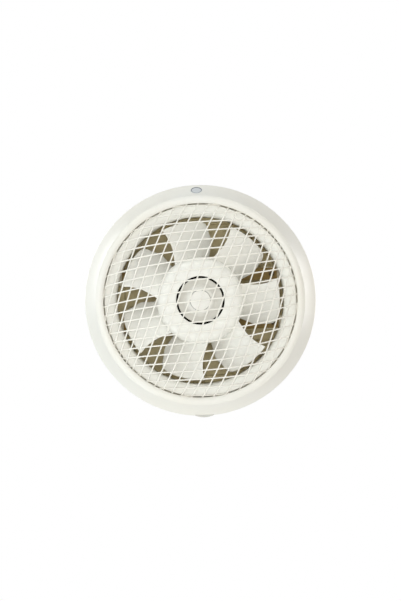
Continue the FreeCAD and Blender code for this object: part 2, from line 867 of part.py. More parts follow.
def blade_outline(y0, y1):
    """Prism of the blade's outline seen from the room, about the +X direction."""
    root_r = hub_r - blade_root_sink
    front = [polar(root_r, leading_root)] + [blade_spot(*pair) for pair in leading_edge]
    back = [polar(root_r, trailing_root)] + [blade_spot(*pair) for pair in trailing_edge]
    edges = []
    for spots in (front, back):
        curve = Part.BSplineCurve()
        curve.interpolate(spots)
        edges.append(curve.toShape())
    tip_middle = (leading_edge[-1][1] + trailing_edge[-1][1]) / 2
    tip = Part.Arc(back[-1], polar(impeller_r, tip_middle), front[-1]).toShape()
    root = Part.Arc(front[0], polar(root_r, 0), back[0]).toShape()
    face = Part.Face(Part.Wire([edges[0], tip, edges[1], root]))
    face.translate(V(0, y0, 0))
    return face.extrude(V(0, y1 - y0, 0))


def blade_slab():
    """Twisted sheet that rises by the blade lead in one turn, wider than the blade."""
    half_width = impeller_r * slab_half_share
    distances = [hub_r * share for share in slab_hub_shares]
    distances += [(hub_r + impeller_r) / 2, impeller_r * slab_tip_share]
    sections = []
    for distance in distances:
        rows = []
        for side in (-1, 1):
            spots = []
            for share in (-1, -0.5, 0, 0.5, 1):
                z = share * half_width
                angle = math.degrees(math.atan2(z, distance))
                rise = blade_lead / 360 * math.degrees(distance / (distance ** 2 + z ** 2))
                thick = blade_thick * math.hypot(1, rise)
                spots.append(V(distance, blade_mid_y - blade_lead * angle / 360 + side * thick / 2, z))
            rows.append(spots)
        curves = []
        for spots in rows:
            curve = Part.BSplineCurve()
            curve.interpolate(spots)
            curves.append(curve.toShape())
        near = Part.LineSegment(rows[0][0], rows[1][0]).toShape()
        far = Part.LineSegment(rows[0][-1], rows[1][-1]).toShape()
        sections.append(Part.Wire([curves[0], far, curves[1], near]))
    return Part.makeLoft(sections, True, False)


def impeller():
    """Hub with its cup and boss, and seven twisted blades."""
    inner_r = hub_r - hub_wall
    cup_wall_r = cup_r + hub_wall
    turn_y = hub_front + hub_edge_r
    under_y = hub_front + hub_wall
    bore_r = shaft_r + seat_gap
    profile = chain([(hub_r, hub_back), (hub_r, turn_y)])
    profile.append(quarter((hub_r, turn_y), (hub_r, hub_front), (hub_r - hub_edge_r, hub_front)))
    profile += chain([(hub_r - hub_edge_r, hub_front), (cup_r + cup_edge, hub_front)])
    profile.append(quarter((cup_r + cup_edge, hub_front), (cup_r, hub_front), (cup_r, hub_front + cup_edge)))
    profile += chain([(cup_r, hub_front + cup_edge), (cup_r, cup_floor), (bore_r, cup_floor),
                      (bore_r, boss_back), (boss_r, boss_back), (boss_r, cup_back), (cup_wall_r, cup_back),
                      (cup_wall_r, under_y), (hub_r - hub_edge_r, under_y)])
    profile.append(quarter((hub_r - hub_edge_r, under_y), (inner_r, under_y), (inner_r, turn_y)))
    profile += chain([(inner_r, turn_y), (inner_r, hub_back), (hub_r, hub_back)])
    hub = turned(profile)
    pin_room = drive_pin_r + seat_gap
    slot = block(-drive_pin_length / 2 - seat_gap, drive_pin_length / 2 + seat_gap, drive_pin_y() - pin_room,
                 boss_back, -pin_room, pin_room)
    blade = blade_slab().common(blade_outline(hub_front, hub_back + impeller_r))
    return joined([hub] + around(blade, blade_count, blade_phase)).cut(slot)


def lock_washer():
    """Washer under the retaining nut."""
    return tube(shaft_r + seat_gap, washer_r, cup_floor - washer_thick, cup_floor)


def retaining_nut():
    """Nut that holds the hub on the shaft."""
    y1 = cup_floor - washer_thick
    return hexagon(nut_flat, y1 - nut_height, y1).cut(rod(shaft_r + seat_gap, y1 - nut_height, y1))


def spinner_cap():
    """Hollow cap standing on the floor of the hub's cup: a dish round the boss that carries the button."""
    land_r = button_r + cap_land
    rim_y = cup_floor - cap_rim_height
    inner_r = cap_r - cap_wall
    valley_r = land_r + (cap_r - land_r) * cap_valley_share
    valley_y = rim_y + cap_dish
    shoulder_r = land_r + (cap_r - land_r) * cap_shoulder_share
    shoulder_y = cap_face + cap_shoulder_drop
    inset = cap_wall / 2
    return turned_points([(cap_r, cup_floor), (cap_r, rim_y), (valley_r, valley_y), (shoulder_r, shoulder_y),
                          (land_r, cap_face), (0, cap_face), (0, cap_face + cap_wall),
                          (land_r - inset, cap_face + cap_wall), (shoulder_r - inset, shoulder_y + cap_wall),
                          (valley_r - inset, valley_y + cap_wall), (inner_r, rim_y + cap_wall),
                          (inner_r, cup_floor)])


def spinner_button():
    """Round button on the face of the cap, with a rounded edge."""
    top = cap_face - button_height
    profile = chain([(0, cap_face), (button_r, cap_face), (button_r, top + button_edge)])
    profile.append(quarter((button_r, top + button_edge), (button_r, top), (button_r - button_edge, top)))
    return turned(profile + chain([(button_r - button_edge, top), (0, top), (0, cap_face)]))


def spinner_seal():
    """Black rubber ring on the floor of the cup, around the cap."""
    return tube(cap_r + seal_fit, cup_r - seal_fit, cup_floor - seal_height, cup_floor)


# Shutter

def hinge_z(index):
    """Height of a flap's hinge line, counted from the top."""
    return frame_inner - hinge_drop - index * flap_pitch


def flap_bottom(index):
    """Height of a flap's lower edge when it is closed."""
    return hinge_z(index + 1) + hinge_barrel_r + flap_edge_gap


def shutter_screw_y():
    """Place of the screws that hold the shutter on the sleeve."""
    return sleeve_length - collar_length / 2


def shutter_frame():
    """Square frame on a round collar: hinge holes, a ledge round the flaps, a stop bar behind each flap."""
    collar_r = sleeve_r + collar_fit
    face_back = frame_y + frame_face
    walls = block(-frame_half, frame_half, frame_y, frame_back, -frame_half, frame_half)
    inside = block(-frame_inner, frame_inner, face_back, frame_back, -frame_inner, frame_inner)
    face = rod(collar_r + collar_wall, frame_y, face_back)
    collar = tube(collar_r, collar_r + collar_wall, frame_y - collar_length, frame_y)
    reach = frame_inner + OVERRUN
    stop_back = flap_y - stop_gap
    ledge_back = hinge_y - hinge_barrel_r - ledge_gap
    ledge_front = ledge_back - ledge_thick
    way = frame_inner - ledge_width
    ledge = block(-reach, reach, ledge_front, ledge_back, -reach, reach)
    ledge = ledge.cut(block(-way, way, ledge_front, ledge_back, -way, way))
    stops = [block(-reach, reach, stop_back - stop_bar, stop_back, flap_bottom(k), flap_bottom(k) + stop_bar)
             for k in range(flap_count)]
    seals = [block(-reach, reach, ledge_front, ledge_back, hinge_z(k + 1) - ledge_lap,
                   flap_bottom(k) + stop_bar) for k in range(flap_count - 1)]
    body = joined([walls.cut(inside), face, collar, ledge] + stops + seals)
    hole = rod(sleeve_bore_r, frame_y, face_back)
    cuts = [hole.common(block(-frame_inner, frame_inner, frame_y, face_back, -frame_inner, frame_inner))]
    cuts += [cross_rod(hinge_r + running_gap, -frame_half, frame_half, hinge_y, hinge_z(k))
             for k in range(flap_count)]
    screw_hole = cross_rod(shutter_screw_r, sleeve_r, collar_r + collar_wall + OVERRUN, shutter_screw_y(), 0)
    cuts += around(screw_hole, shutter_screw_count, shutter_screw_phase)
    return body.cut(group(cuts))


def shutter_screws():
    """Short screws through the collar into the sleeve."""
    outer = sleeve_r + collar_fit + collar_wall
    shank_r = shutter_screw_r - seat_gap
    y = shutter_screw_y()
    shank = cross_rod(shank_r, sleeve_bore_r, outer + screw_head_height / 2, y, 0)
    head = cross_rod(shank_r * screw_head_ratio, outer, outer + screw_head_height, y, 0)
    head = head.cut(rod(outer, y - collar_length, y + collar_length))
    return group(around(joined([shank, head]), shutter_screw_count, shutter_screw_phase))


def flap(index):
    """Shutter flap with its hinge barrel, hinge pins and a crank for the tie bar."""
    top = hinge_z(index)
    plate = block(flap_left, flap_right, flap_y, flap_y + flap_thick, flap_bottom(index), top)
    barrel = cross_rod(hinge_barrel_r, flap_left, flap_right, hinge_y, top)
    reach = frame_half - hinge_end_gap
    pin = cross_rod(hinge_r, -reach, reach, hinge_y, top)
    crank_half = crank_r + crank_rim
    ear = block(flap_right - crank_ear, flap_right, hinge_y, hinge_y + crank_out + crank_half,
                top - crank_drop - crank_half, top - crank_drop + crank_half)
    crank = cross_rod(crank_r, flap_right - crank_ear, link_x + link_thick, hinge_y + crank_out,
                      top - crank_drop)
    return joined([plate, barrel, pin, ear, crank])


def tie_bar():
    """Upright strip that joins the cranks of the flaps."""
    y = hinge_y + crank_out
    top = hinge_z(0) - crank_drop + link_width / 2
    bottom = hinge_z(flap_count - 1) - crank_drop - link_width / 2
    bar = block(link_x, link_x + link_thick, y - link_width / 2, y + link_width / 2, bottom, top)
    holes = []
    for k in range(flap_count):
        gap = running_gap if k == 0 else link_loose
        holes.append(cross_rod(crank_r + gap, link_x, link_x + link_thick, y, hinge_z(k) - crank_drop))
    return bar.cut(group(holes))


def main():
    """Write every piece to its own file."""
    pieces = {
        "front_bezel": front_bezel(),
        "badge_blank": badge_disc(badge_r),
        "mesh_grille": mesh_grille(),
        "grille_retainer": grille_retainer(),
        "retainer_screws": retainer_screws(),
        "bell_mouth": bell_mouth(),
        "duct_sleeve": duct_sleeve(),
        "wall_gasket": wall_gasket(),
        "cord_inlet": cord_inlet(),
        "terminal_block": terminal_block(),
        "terminal_screws": terminal_screws(),
        "terminal_cover": terminal_cover(),
        "run_capacitor": run_capacitor(),
        "capacitor_clip": capacitor_clip(),
        "motor_lead": motor_lead(),
        "lead_grommet": lead_grommet(),
        "motor_strap_upper": motor_strap(1),
        "motor_strap_lower": motor_strap(-1),
        "strap_screws": strap_screws(),
        "motor_front_shell": motor_front_shell(),
        "motor_rear_shell": motor_rear_shell(),
        "front_bearing": bearing(front_bearing_y),
        "rear_bearing": bearing(rear_bearing_y),
        "stator_core": stator_core(),
        "stator_windings": stator_windings(),
        "motor_bolts": motor_bolts(),
        "motor_nuts": motor_nuts(),
        "shaft": shaft(),
        "drive_pin": drive_pin(),
        "rotor_core": rotor_core(),
        "rotor_cage": rotor_cage(),
        "shaft_spacers": shaft_spacers(),
        "impeller": impeller(),
        "lock_washer": lock_washer(),
        "retaining_nut": retaining_nut(),
        "spinner_cap": spinner_cap(),
        "spinner_button": spinner_button(),
        "spinner_seal": spinner_seal(),
        "shutter_frame": shutter_frame(),
        "shutter_screws": shutter_screws(),
        "tie_bar": tie_bar(),
    }
    for k in range(flap_count):
        pieces["shutter_flap_%d" % (k + 1)] = flap(k)
    os.makedirs("parts", exist_ok=True)
    for name, shape in pieces.items():
        shape.exportStep("parts/%s.step" % name)
        print(name, len(shape.Solids), shape.isValid(), round(shape.Volume))


main()
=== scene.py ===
"""Looks of the axial wall fan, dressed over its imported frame.

Sizes are written in millimetres and become metres when a mesh is made. X runs right, Y runs from
the room into the wall, Z runs up, and the fan axis is Y. Angles round the axis are in degrees from
+X, counter-clockwise as seen from the room.
"""
import math

import bmesh
import bpy
import numpy as np
from mathutils import Matrix, Vector


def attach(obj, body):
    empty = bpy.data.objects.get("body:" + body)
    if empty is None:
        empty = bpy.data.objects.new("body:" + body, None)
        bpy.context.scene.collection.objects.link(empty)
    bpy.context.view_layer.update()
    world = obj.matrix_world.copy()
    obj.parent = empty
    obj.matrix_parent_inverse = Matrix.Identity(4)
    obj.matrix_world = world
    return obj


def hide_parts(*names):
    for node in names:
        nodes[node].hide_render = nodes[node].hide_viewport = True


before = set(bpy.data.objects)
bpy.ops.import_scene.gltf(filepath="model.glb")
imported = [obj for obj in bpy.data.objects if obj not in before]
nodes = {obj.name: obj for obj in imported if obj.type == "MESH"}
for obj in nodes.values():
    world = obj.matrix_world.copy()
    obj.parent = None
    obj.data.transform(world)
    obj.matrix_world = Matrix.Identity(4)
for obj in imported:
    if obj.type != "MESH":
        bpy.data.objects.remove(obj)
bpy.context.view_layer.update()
dressed = {}    # finer pieces, by the node that each stands for

TURN = 2 * math.pi
X, Y, Z = np.eye(3)
MM = 0.001
MERGE = 2e-6    # corners nearer than this, in metres, are one

# Bezel, badge and net
LIP_R, LIP_Y = 121.2, -26.5
RIM_R, CREASE_Y = 130.5, -25.0
CROWN_Y = -28.0
BEZEL_R, SKIRT_Y = 145.0, -3.5
BADGE_SPOT = np.array([0, (SKIRT_Y + CREASE_Y) / 2, (BEZEL_R + RIM_R) / 2])
NET_SEAT_Y, NET_BACK_Y = -24.3, -22.3
NET_BASE_R, NET_FLANGE_R = 121.6, 123.6
BOSS_RING_R, BOSSES = 126.5, 6

# Bell mouth, impeller and cap
THROAT_R, BELL_R = 105.0, 120.0
BELL_Y, FLANGE_FRONT, SPIGOT_END = -19.5, -5.0, 14.0
IMPELLER_R, BLADES = 100.0, 7
HUB_R, HUB_FRONT, HUB_BACK = 54.6, -27.2, 20.0
CUP_R, CUP_FLOOR = 30.3, -16.2
CAP_R, CAP_RIM_Y, CAP_FACE = 27.9, -24.2, -27.4
BUTTON_R = 12.5

# Shutter
FLAPS, FLAP_PITCH = 4, 49.0
HINGE_Y, TOP_HINGE = 123.8, 94.4
FLAP_LEFT, FLAP_RIGHT = -97.4, 95.0


# Mesh making

def grid(points, wrap_rows=False, wrap_columns=False):
    """Quads between the neighbours of a rows x columns x 3 array of points."""
    rows, columns = points.shape[:2]
    number = np.arange(rows * columns).reshape(rows, columns)
    if wrap_rows:
        number = np.concatenate([number, number[:1]], 0)
    if wrap_columns:
        number = np.concatenate([number, number[:, :1]], 1)
    quads = np.stack([number[:-1, :-1], number[1:, :-1], number[1:, 1:], number[:-1, 1:]], -1)
    return points.reshape(-1, 3), quads.reshape(-1, 4)


def made(name, parts, node, sharp=38.0, body="casing"):
    """Object from (points, quads) parts in millimetres: doubles merged, faces outwards, smooth but
    for edges sharper than the given angle. It rides on a body and stands for a node."""
    starts = np.cumsum([0] + [len(points) for points, _ in parts])
    points = np.concatenate([points for points, _ in parts]) * MM
    faces = np.concatenate([quads + start for (_, quads), start in zip(parts, starts)])
    mesh = bpy.data.meshes.new(name)
    mesh.from_pydata(points.tolist(), [], faces.tolist())
    merged(mesh, lambda shape: bmesh.ops.recalc_face_normals(shape, faces=shape.faces))
    settled(name, mesh, node, sharp, body)


def merged(mesh, step):
    """Merges a mesh's doubles and takes one more step with it."""
    shape = bmesh.new()
    shape.from_mesh(mesh)
    bmesh.ops.remove_doubles(shape, verts=shape.verts, dist=MERGE)
    step(shape)
    shape.to_mesh(mesh)
    shape.free()


def shown(name, data):
    """New object in the scene."""
    thing = bpy.data.objects.new(name, data)
    bpy.context.scene.collection.objects.link(thing)
    return thing


def settled(name, mesh, node, sharp, body):
    """Object of a finished mesh, riding on its body in place of its node."""
    mesh.shade_smooth()
    mesh.set_sharp_from_angle(angle=math.radians(sharp))
    piece = shown(name, mesh)
    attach(piece, body)
    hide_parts(node)
    dressed[node] = piece
    return piece


def eased(node, width=0.0, segments=2, sharp=32.0, body="casing"):
    """Copy of a plain solid with its corners merged, its flat faces joined and its edges rounded
    to a width in millimetres."""
    flat, least_bend = math.radians(0.3), math.radians(40.0)
    mesh = nodes[node].data.copy()
    merged(mesh, lambda shape: bmesh.ops.dissolve_limit(
        shape, angle_limit=flat, verts=shape.verts, edges=shape.edges))
    mesh.materials.clear()
    piece = settled(node + "_eased", mesh, node, sharp, body)
    if width:
        rounding = piece.modifiers.new("rounding", "BEVEL")
        rounding.width = width * MM
        rounding.segments = segments
        rounding.limit_method = "ANGLE"
        rounding.angle_limit = least_bend
        rounding.harden_normals = True


def unit(v):
    """Vectors along the last axis, brought to length 1."""
    return v / np.linalg.norm(v, axis=-1, keepdims=True)


def circle(count):
    """Angles spread evenly over a full turn."""
    return np.linspace(0, TURN, count, endpoint=False)


def softened(corners, closed=False, steps=6, support=0.35):
    """Profile through (radius, y, cut) corners. A corner P with a cut becomes the curve
    (1-t)^2 A + 2t(1-t) P + t^2 C between the points A and C that lie that far along its two sides,
    and a support point follows each curve so that the shading stays flat on the straight runs."""
    spots = np.array([corner[:2] for corner in corners], float)
    cuts = [corner[2] if len(corner) > 2 else 0.0 for corner in corners]
    t = np.linspace(0, 1, steps)[:, None]
    out = []
    for k, (spot, cut) in enumerate(zip(spots, cuts)):
        at_end = not closed and k in (0, len(spots) - 1)
        if at_end or not cut:
            out.append(spot[None])
            continue
        back, ahead = unit(spots[k - 1] - spot), unit(spots[(k + 1) % len(spots)] - spot)
        a, c = spot + back * cut, spot + ahead * cut
        out.append((a + back * support)[None])
        out.append((1 - t) ** 2 * a + 2 * t * (1 - t) * spot + t ** 2 * c)
        out.append((c + ahead * support)[None])
    return np.concatenate(out)


def ellipse_corner(start, corner, end, steps):
    """Quarter ellipse from start to end that touches the lines to their corner:
    start (1 - sin a) + end (1 - cos a) + corner (sin a + cos a - 1)."""
    a = np.linspace(0, math.pi / 2, steps)[:, None]
    start, corner, end = (np.array(p, float) for p in (start, corner, end))
    return start * (1 - np.sin(a)) + end * (1 - np.cos(a)) + corner * (np.sin(a) + np.cos(a) - 1)


def arc_through(first, middle, last, steps):
    """Points of the circle through three (radius, y) points, from the first to the last. Its centre
    u lies as far from all three: 2 (p - first) . u = |p|^2 - |first|^2."""
    a, b, c = (np.array(p, float) for p in (first, middle, last))
    u = np.linalg.solve(2 * np.stack([b - a, c - a]), [b @ b - a @ a, c @ c - a @ a])
    start, end = (math.atan2(p[1] - u[1], p[0] - u[0]) for p in (a, c))
    t = np.linspace(start, end, steps)
    return u + np.linalg.norm(a - u) * np.stack([np.cos(t), np.sin(t)], -1)


def revolved(a, r, h, origin=0.0, axis=Y, side=X, up=Z):
    """Points at the distances r from an axis and h along it, with a row for each angle a:
    origin + (side cos a + up sin a) r + axis h."""
    spokes = np.outer(np.cos(a), side) + np.outer(np.sin(a), up)
    return origin + spokes[:, None] * r[..., None] + axis * h[..., None]


def turned(profile, count, closed=True):
    """Profile of (radius, y) points carried round the fan axis."""
    return grid(revolved(circle(count), *profile.T), True, closed)


def notched(profile, count, half, inside, level, ends):
    """Turned ring with a notch at the bottom. Between sides that stand where |x| is the half width,
    no point outside the inside radius lies deeper than the level; ends are the radii there of the
    inner and outer surfaces that the notch cuts."""
    bottom = 0.75 * TURN
    wall, clear = 1e-4, 2e-3    # angles: across a side of the notch, and free of other points
    a = circle(count)
    side = math.asin(half / profile[:, 0].max())
    edges = bottom + np.array([-side - wall, -side, side, side + wall])
    away = np.abs(a - bottom)
    a = np.sort(np.concatenate([a[away > side + clear], a[away < side - clear], edges]))
    r, y = profile.T
    cut = (np.abs(a - bottom) < side + wall / 2)[:, None] & (r > inside) & (y > level)
    y = np.where(cut, level, y)
    r = np.where(cut, np.where(r > sum(ends) / 2, ends[1], ends[0]), r)
    return grid(revolved(a, r, y), True, True)


def swept(path, across, over, half_width, half_height, count=10, power=2.6):
    """Closed bar along a path: at each point a rounded-square ring, across * w c^(2/p)
    + over * h s^(2/p) for the cosine c and sine s round the ring, drawn to a point at both ends."""
    a = circle(count)
    c, s = (np.sign(v) * np.abs(v) ** (2 / power) for v in (np.cos(a), np.sin(a)))
    rings = path[:, None] + across[:, None] * np.outer(half_width, c)[..., None] \
        + over[:, None] * (half_height * s)[None, :, None]
    first, last = (np.broadcast_to(end, (1, count, 3)) for end in (path[0], path[-1]))
    return grid(np.concatenate([first, rings, last]), False, True)


def lathe_along(profile, y, z, count=28):
    """Profile of (x, radius) points carried round a line along X."""
    x, r = profile.T
    return grid(revolved(circle(count), r, x, (0, y, z), X, Y, Z), True, False)


def slab(x, y, z, cut):
    """Box between (low, high) pairs with cut edges: a closed grid of rings in y, each an
    eight-sided outline in x and z, drawn in at both ends and closed to its middle."""
    (x0, x1), (y0, y1), (z0, z1) = x, y, z
    rings = []
    for level, inset in ((y0, cut), (y0 + cut, 0.0), (y1 - cut, 0.0), (y1, cut)):
        a, b, c, d = x0 + inset, x1 - inset, z0 + inset, z1 - inset
        outline = [(a + cut, c), (b - cut, c), (b, c + cut), (b, d - cut),
                   (b - cut, d), (a + cut, d), (a, d - cut), (a, c + cut)]
        rings.append([(px, level, pz) for px, pz in outline])
    middle = (x0 + x1) / 2, (z0 + z1) / 2
    first, last = ([(middle[0], level, middle[1])] * 8 for level in y)
    return grid(np.array([first, *rings, last]), False, True)


def spun(part, degrees):
    """Part turned about the fan axis."""
    points, quads = part
    c, s = math.cos(math.radians(degrees)), math.sin(math.radians(degrees))
    return points @ np.array([(c, 0, s), (0, 1, 0), (-s, 0, c)]), quads


def around_axis(radius, degrees, y=0.0):
    """Point at a radius and an angle round the fan axis, and the direction away from it there."""
    outward = np.array([math.cos(math.radians(degrees)), 0.0, math.sin(math.radians(degrees))])
    return radius * outward + (0.0, y, 0.0), outward


# Front bezel, badge and net

def bezel_shell():
    """Hollow ring: straight skirt, sloping flank, a bead on the crease, crowned rim and inner lip,
    with a notch for the cord inlet, bosses for the net's screws and snap hooks on the skirt."""
    wall, back_y = 2.2, -0.5
    inner, bend_y = BEZEL_R - wall, -2.83
    seat_end = 128.3
    crown = arc_through((RIM_R, CREASE_Y), ((RIM_R + LIP_R) / 2, CROWN_Y), (LIP_R, LIP_Y), 14)
    outside = softened([(BEZEL_R, back_y, 0.3), (BEZEL_R, SKIRT_Y, 1.1),
                        (RIM_R + 0.05, CREASE_Y + 0.1)])
    bead = np.array([RIM_R, CREASE_Y]) + [(0.45, 0.45), (0.3, -0.2), (-0.15, -0.6), (-0.75, -0.75)]
    lip = softened([tuple(crown[-2]), (LIP_R, LIP_Y, 0.45), (LIP_R, NET_SEAT_Y, 0.2),
                    (seat_end, NET_SEAT_Y, 0.3), (inner, bend_y, 0.6), (inner, back_y, 0.2),
                    (BEZEL_R, back_y)], support=0.2)
    profile = np.concatenate([outside[:-1], bead, crown[2:-2], lip[:-1]])
    ring = notched(profile, 288, half=12.3, inside=100.0, level=-5.2, ends=(141.2, 143.85))

    bore_r, boss_r, boss_front = 1.3, 2.6, NET_SEAT_Y - 1.2
    points, quads = turned(softened([(bore_r, boss_front), (bore_r, NET_BACK_Y, 0.2),
                                     (boss_r, NET_BACK_Y, 0.25), (boss_r, boss_front)],
                                    closed=True, support=0.1), 24)
    bosses = [(points + around_axis(BOSS_RING_R, 360 / BOSSES * k)[0], quads)
              for k in range(BOSSES)]

    hook_end, hook_z, hook_turn = -0.66, (-7.0, 7.0), 22.5
    stem = slab((140.2, 144.0), (-5.0, hook_end), hook_z, 0.25)
    barb = slab((138.2, 141.4), (-1.75, hook_end), hook_z, 0.2)
    hooks = [spun(part, hook_turn + 90 * k) for k in range(4) for part in (stem, barb)]
    return [ring] + bosses + hooks


def badge():
    """Plain round disc: a thin raised rim round a very low dome, turned about its own axis and
    leaned on the flank."""
    rim_r, rim_height, face_height, dome, sunk = 7.2, 1.0, 0.62, 0.16, 0.45
    face_r, rim_inside = rim_r * 0.84, rim_r * 0.86
    s = np.linspace(0, face_r / rim_r, 12)
    face = np.stack([rim_r * s, face_height + dome * (1 - s * s)], -1)
    edge = softened([(face_r, face_height), (rim_inside, rim_height, 0.12),
                     (rim_r, rim_height, 0.22), (rim_r, 0.0, 0.1), (0.0, 0.0)], support=0.1)
    profile = np.concatenate([face, edge[1:]])
    outward = unit(np.array([0, RIM_R - BEZEL_R, SKIRT_Y - CREASE_Y]))
    points = revolved(circle(72), *profile.T, BADGE_SPOT - outward * sunk, outward, X,
                      np.cross(X, outward))
    return [grid(points, True, False)]


def net_spot(i, j):
    """Frontal place of the crossing of flat bar i and steep bar j. The diamonds' long and short
    diagonals u and w are closed up towards the rim by shares of the squares of both, found by
    putting each result in again, and then turned."""
    pitch, half, turn = 13.0, math.radians(31.75), math.radians(36.4)
    u_by_u, u_by_w, w_by_u, w_by_w = 0.0783, 0.0437, 0.2349, 0.0702
    long_way = pitch * (i - j) / 2 / math.sin(half)
    short_way = pitch * (i + j) / 2 / math.cos(half)
    u, w = long_way, short_way
    for _ in range(25):
        uu, ww = (u / LIP_R) ** 2, (w / LIP_R) ** 2
        u = long_way / (1 + u_by_u * uu + u_by_w * ww)
        w = short_way / (1 + w_by_u * uu + w_by_w * ww)
    return u * math.cos(turn) - w * math.sin(turn), u * math.sin(turn) + w * math.cos(turn)


def net():
    """Bars on a ball-shaped dome: each bar keeps one crossing number and runs through the other,
    and its height is y = c - sqrt(R^2 - x^2 - z^2). Its half width flares at the rim by an
    exponential of the distance to it. A flat ring closes the rim."""
    rise, base_y, reach = 40.0, NET_SEAT_Y + 0.4, NET_BASE_R + 0.3
    half_width, half_height = 0.85, 0.82
    flare, flare_run = 0.65, 1.1
    depth, weave = 0.9, 0.12    # the bars' middle under the dome, and half the step between them
    step, root_steps = 3.6, np.array([0.6, 1.2, 1.9, 2.7])
    ball = (NET_BASE_R ** 2 + rise ** 2) / (2 * rise)
    centre = base_y - rise + ball
    along = np.linspace(-16, 16, 1601)
    parts = []
    for flat, lift in ((True, -weave), (False, weave)):
        for number in range(-14, 15):
            fixed = np.full_like(along, number)
            x, z = net_spot(fixed, along) if flat else net_spot(along, fixed)
            inside = np.hypot(x, z) < reach
            if inside.sum() < 12:
                continue
            x, z = x[inside], z[inside]
            run = np.concatenate([[0], np.cumsum(np.hypot(np.diff(x), np.diff(z)))])
            even = np.linspace(0, run[-1], max(6, int(run[-1] / step)))
            even = np.unique(np.concatenate([even, root_steps, run[-1] - root_steps]))
            x, z = np.interp(even, run, x), np.interp(even, run, z)
            y = centre - np.sqrt((ball - depth + lift) ** 2 - x ** 2 - z ** 2)
            path = np.stack([x, y, z], -1)
            over = unit(path - centre * Y)
            across = unit(np.cross(over, np.gradient(path, axis=0)))
            to_rim = np.maximum(NET_BASE_R - np.hypot(x, z), 0)
            wide = half_width + flare * np.exp(-to_rim / flare_run)
            parts.append(swept(path, across, over, wide, half_height))
    ring = softened([(NET_BASE_R, NET_SEAT_Y, 0.3), (NET_FLANGE_R, NET_SEAT_Y, 0.2),
                     (NET_FLANGE_R, NET_BACK_Y, 0.2), (NET_BASE_R, NET_BACK_Y, 0.3)],
                    closed=True, support=0.15)
    return parts + [turned(ring, 240)]


# Bell mouth, impeller and cap

def bell():
    """Inlet ring: the spigot, a quarter ellipse out to the rim, and the skirt that stands on the
    flange, with a notch for the cord."""
    wall, rim_land = 2.0, 1.2
    inner_r, inner_y = BELL_R - wall, BELL_Y + wall
    outer_throat = THROAT_R + wall
    front = ellipse_corner((THROAT_R, FLANGE_FRONT), (THROAT_R, BELL_Y),
                           (BELL_R - rim_land, BELL_Y), 22)
    under = ellipse_corner((inner_r, inner_y), (outer_throat, inner_y),
                           (outer_throat, FLANGE_FRONT), 14)
    rim = softened([tuple(front[-1]), (BELL_R, BELL_Y, 0.9), (BELL_R, FLANGE_FRONT, 0.2),
                    (inner_r, FLANGE_FRONT, 0.2), tuple(under[0])], support=0.2)
    tail = softened([tuple(under[-1]), (outer_throat, SPIGOT_END, 0.4),
                     (THROAT_R, SPIGOT_END, 0.4), tuple(front[0])])
    profile = np.concatenate([front[:-1], rim[:-1], under[:-1], tail[:-1]])
    return [notched(profile, 264, half=1.9, inside=inner_r - 0.6, level=-11.1,
                    ends=(inner_r, BELL_R))]


def smooth_line(spots, steps=40):
    """Catmull-Rom curve through (span share, degrees) spots, as span share and degrees arrays."""
    p = np.array(spots, float)
    p = np.concatenate([2 * p[:1] - p[1:2], p, 2 * p[-1:] - p[-2:-1]])
    t = np.linspace(0, 1, steps, endpoint=False)[:, None]
    runs = [0.5 * (2 * b + (c - a) * t + (2 * a - 5 * b + 4 * c - d) * t ** 2
                   + (3 * b - a - 3 * c + d) * t ** 3)
            for a, b, c, d in zip(p, p[1:], p[2:], p[3:])]
    line = np.concatenate(runs + [p[-2:-1]])
    return line[:, 0], line[:, 1]


def blade():
    """One blade about +X: a closed sheet round the screw surface y = 4 - 270 a / 360 for a in
    degrees. Its chord runs between the trailing and leading lines of the outline, its thickness
    follows (1 - |2s - 1|^6)^(1/2) across the chord, thins to the tip and swells into the hub at
    the root."""
    middle_y, pitch = 4.0, 270.0
    half_thick, thinning = 1.1, 0.12
    swell, swell_run = 0.9, 2.2
    corner_from, corner_cut, tip_from = 0.96, 0.3, 0.97
    rows, chord_steps = 46, 33
    root = HUB_R - 1.6
    lead = smooth_line([(-0.035, 25.5), (0.12, 22.0), (0.34, 18.4), (0.56, 17.0), (0.78, 17.0),
                        (1.0, 18.0)])
    trail = smooth_line([(-0.035, -22.5), (0.2, -22.0), (0.45, -21.8), (0.67, -18.3),
                         (0.85, -16.1), (0.956, -13.5), (1.0, -8.0)])

    t = 1 - (1 - np.linspace(0, 1, rows)) ** 1.6
    r = root + t * (IMPELLER_R - root)
    share = (r - HUB_R) / (IMPELLER_R - HUB_R)
    corner = np.clip((share - corner_from) / (1 - corner_from), 0, 1) ** 3
    front = np.interp(share, *lead) - corner_cut * corner
    back = np.interp(share, *trail)
    half_loop = (1 - np.cos(np.linspace(0, math.pi, chord_steps))) / 2
    s = np.concatenate([half_loop, half_loop[-2:0:-1]])
    side = np.concatenate([np.ones(chord_steps), -np.ones(chord_steps - 2)])
    angle = back[:, None] + (front - back)[:, None] * s[None]
    a, radius = np.radians(angle), np.broadcast_to(r[:, None], angle.shape)
    flat = np.stack([radius * np.cos(a), middle_y - pitch / 360 * angle, radius * np.sin(a)], -1)
    slope = pitch / TURN
    normal = unit(np.stack([slope * np.sin(a), -radius, -slope * np.cos(a)], -1))

    chord = np.sqrt(np.clip(1 - np.abs(2 * s - 1) ** 6, 0, 1))
    tip = np.sqrt(np.clip(1 - np.clip((share - tip_from) / (1 - tip_from), 0, 1) ** 2, 0, 1))
    at_root = 1 + swell * np.exp(-np.clip(r - HUB_R, 0, None) / swell_run)
    along = half_thick * tip * at_root * (1 - thinning * np.clip(share, 0, 1))
    points = flat + normal * np.outer(along, chord * side)[..., None]
    root_ring = np.broadcast_to(points[:1].mean(1, keepdims=True), points[:1].shape)
    return grid(np.concatenate([root_ring, points]), False, True)


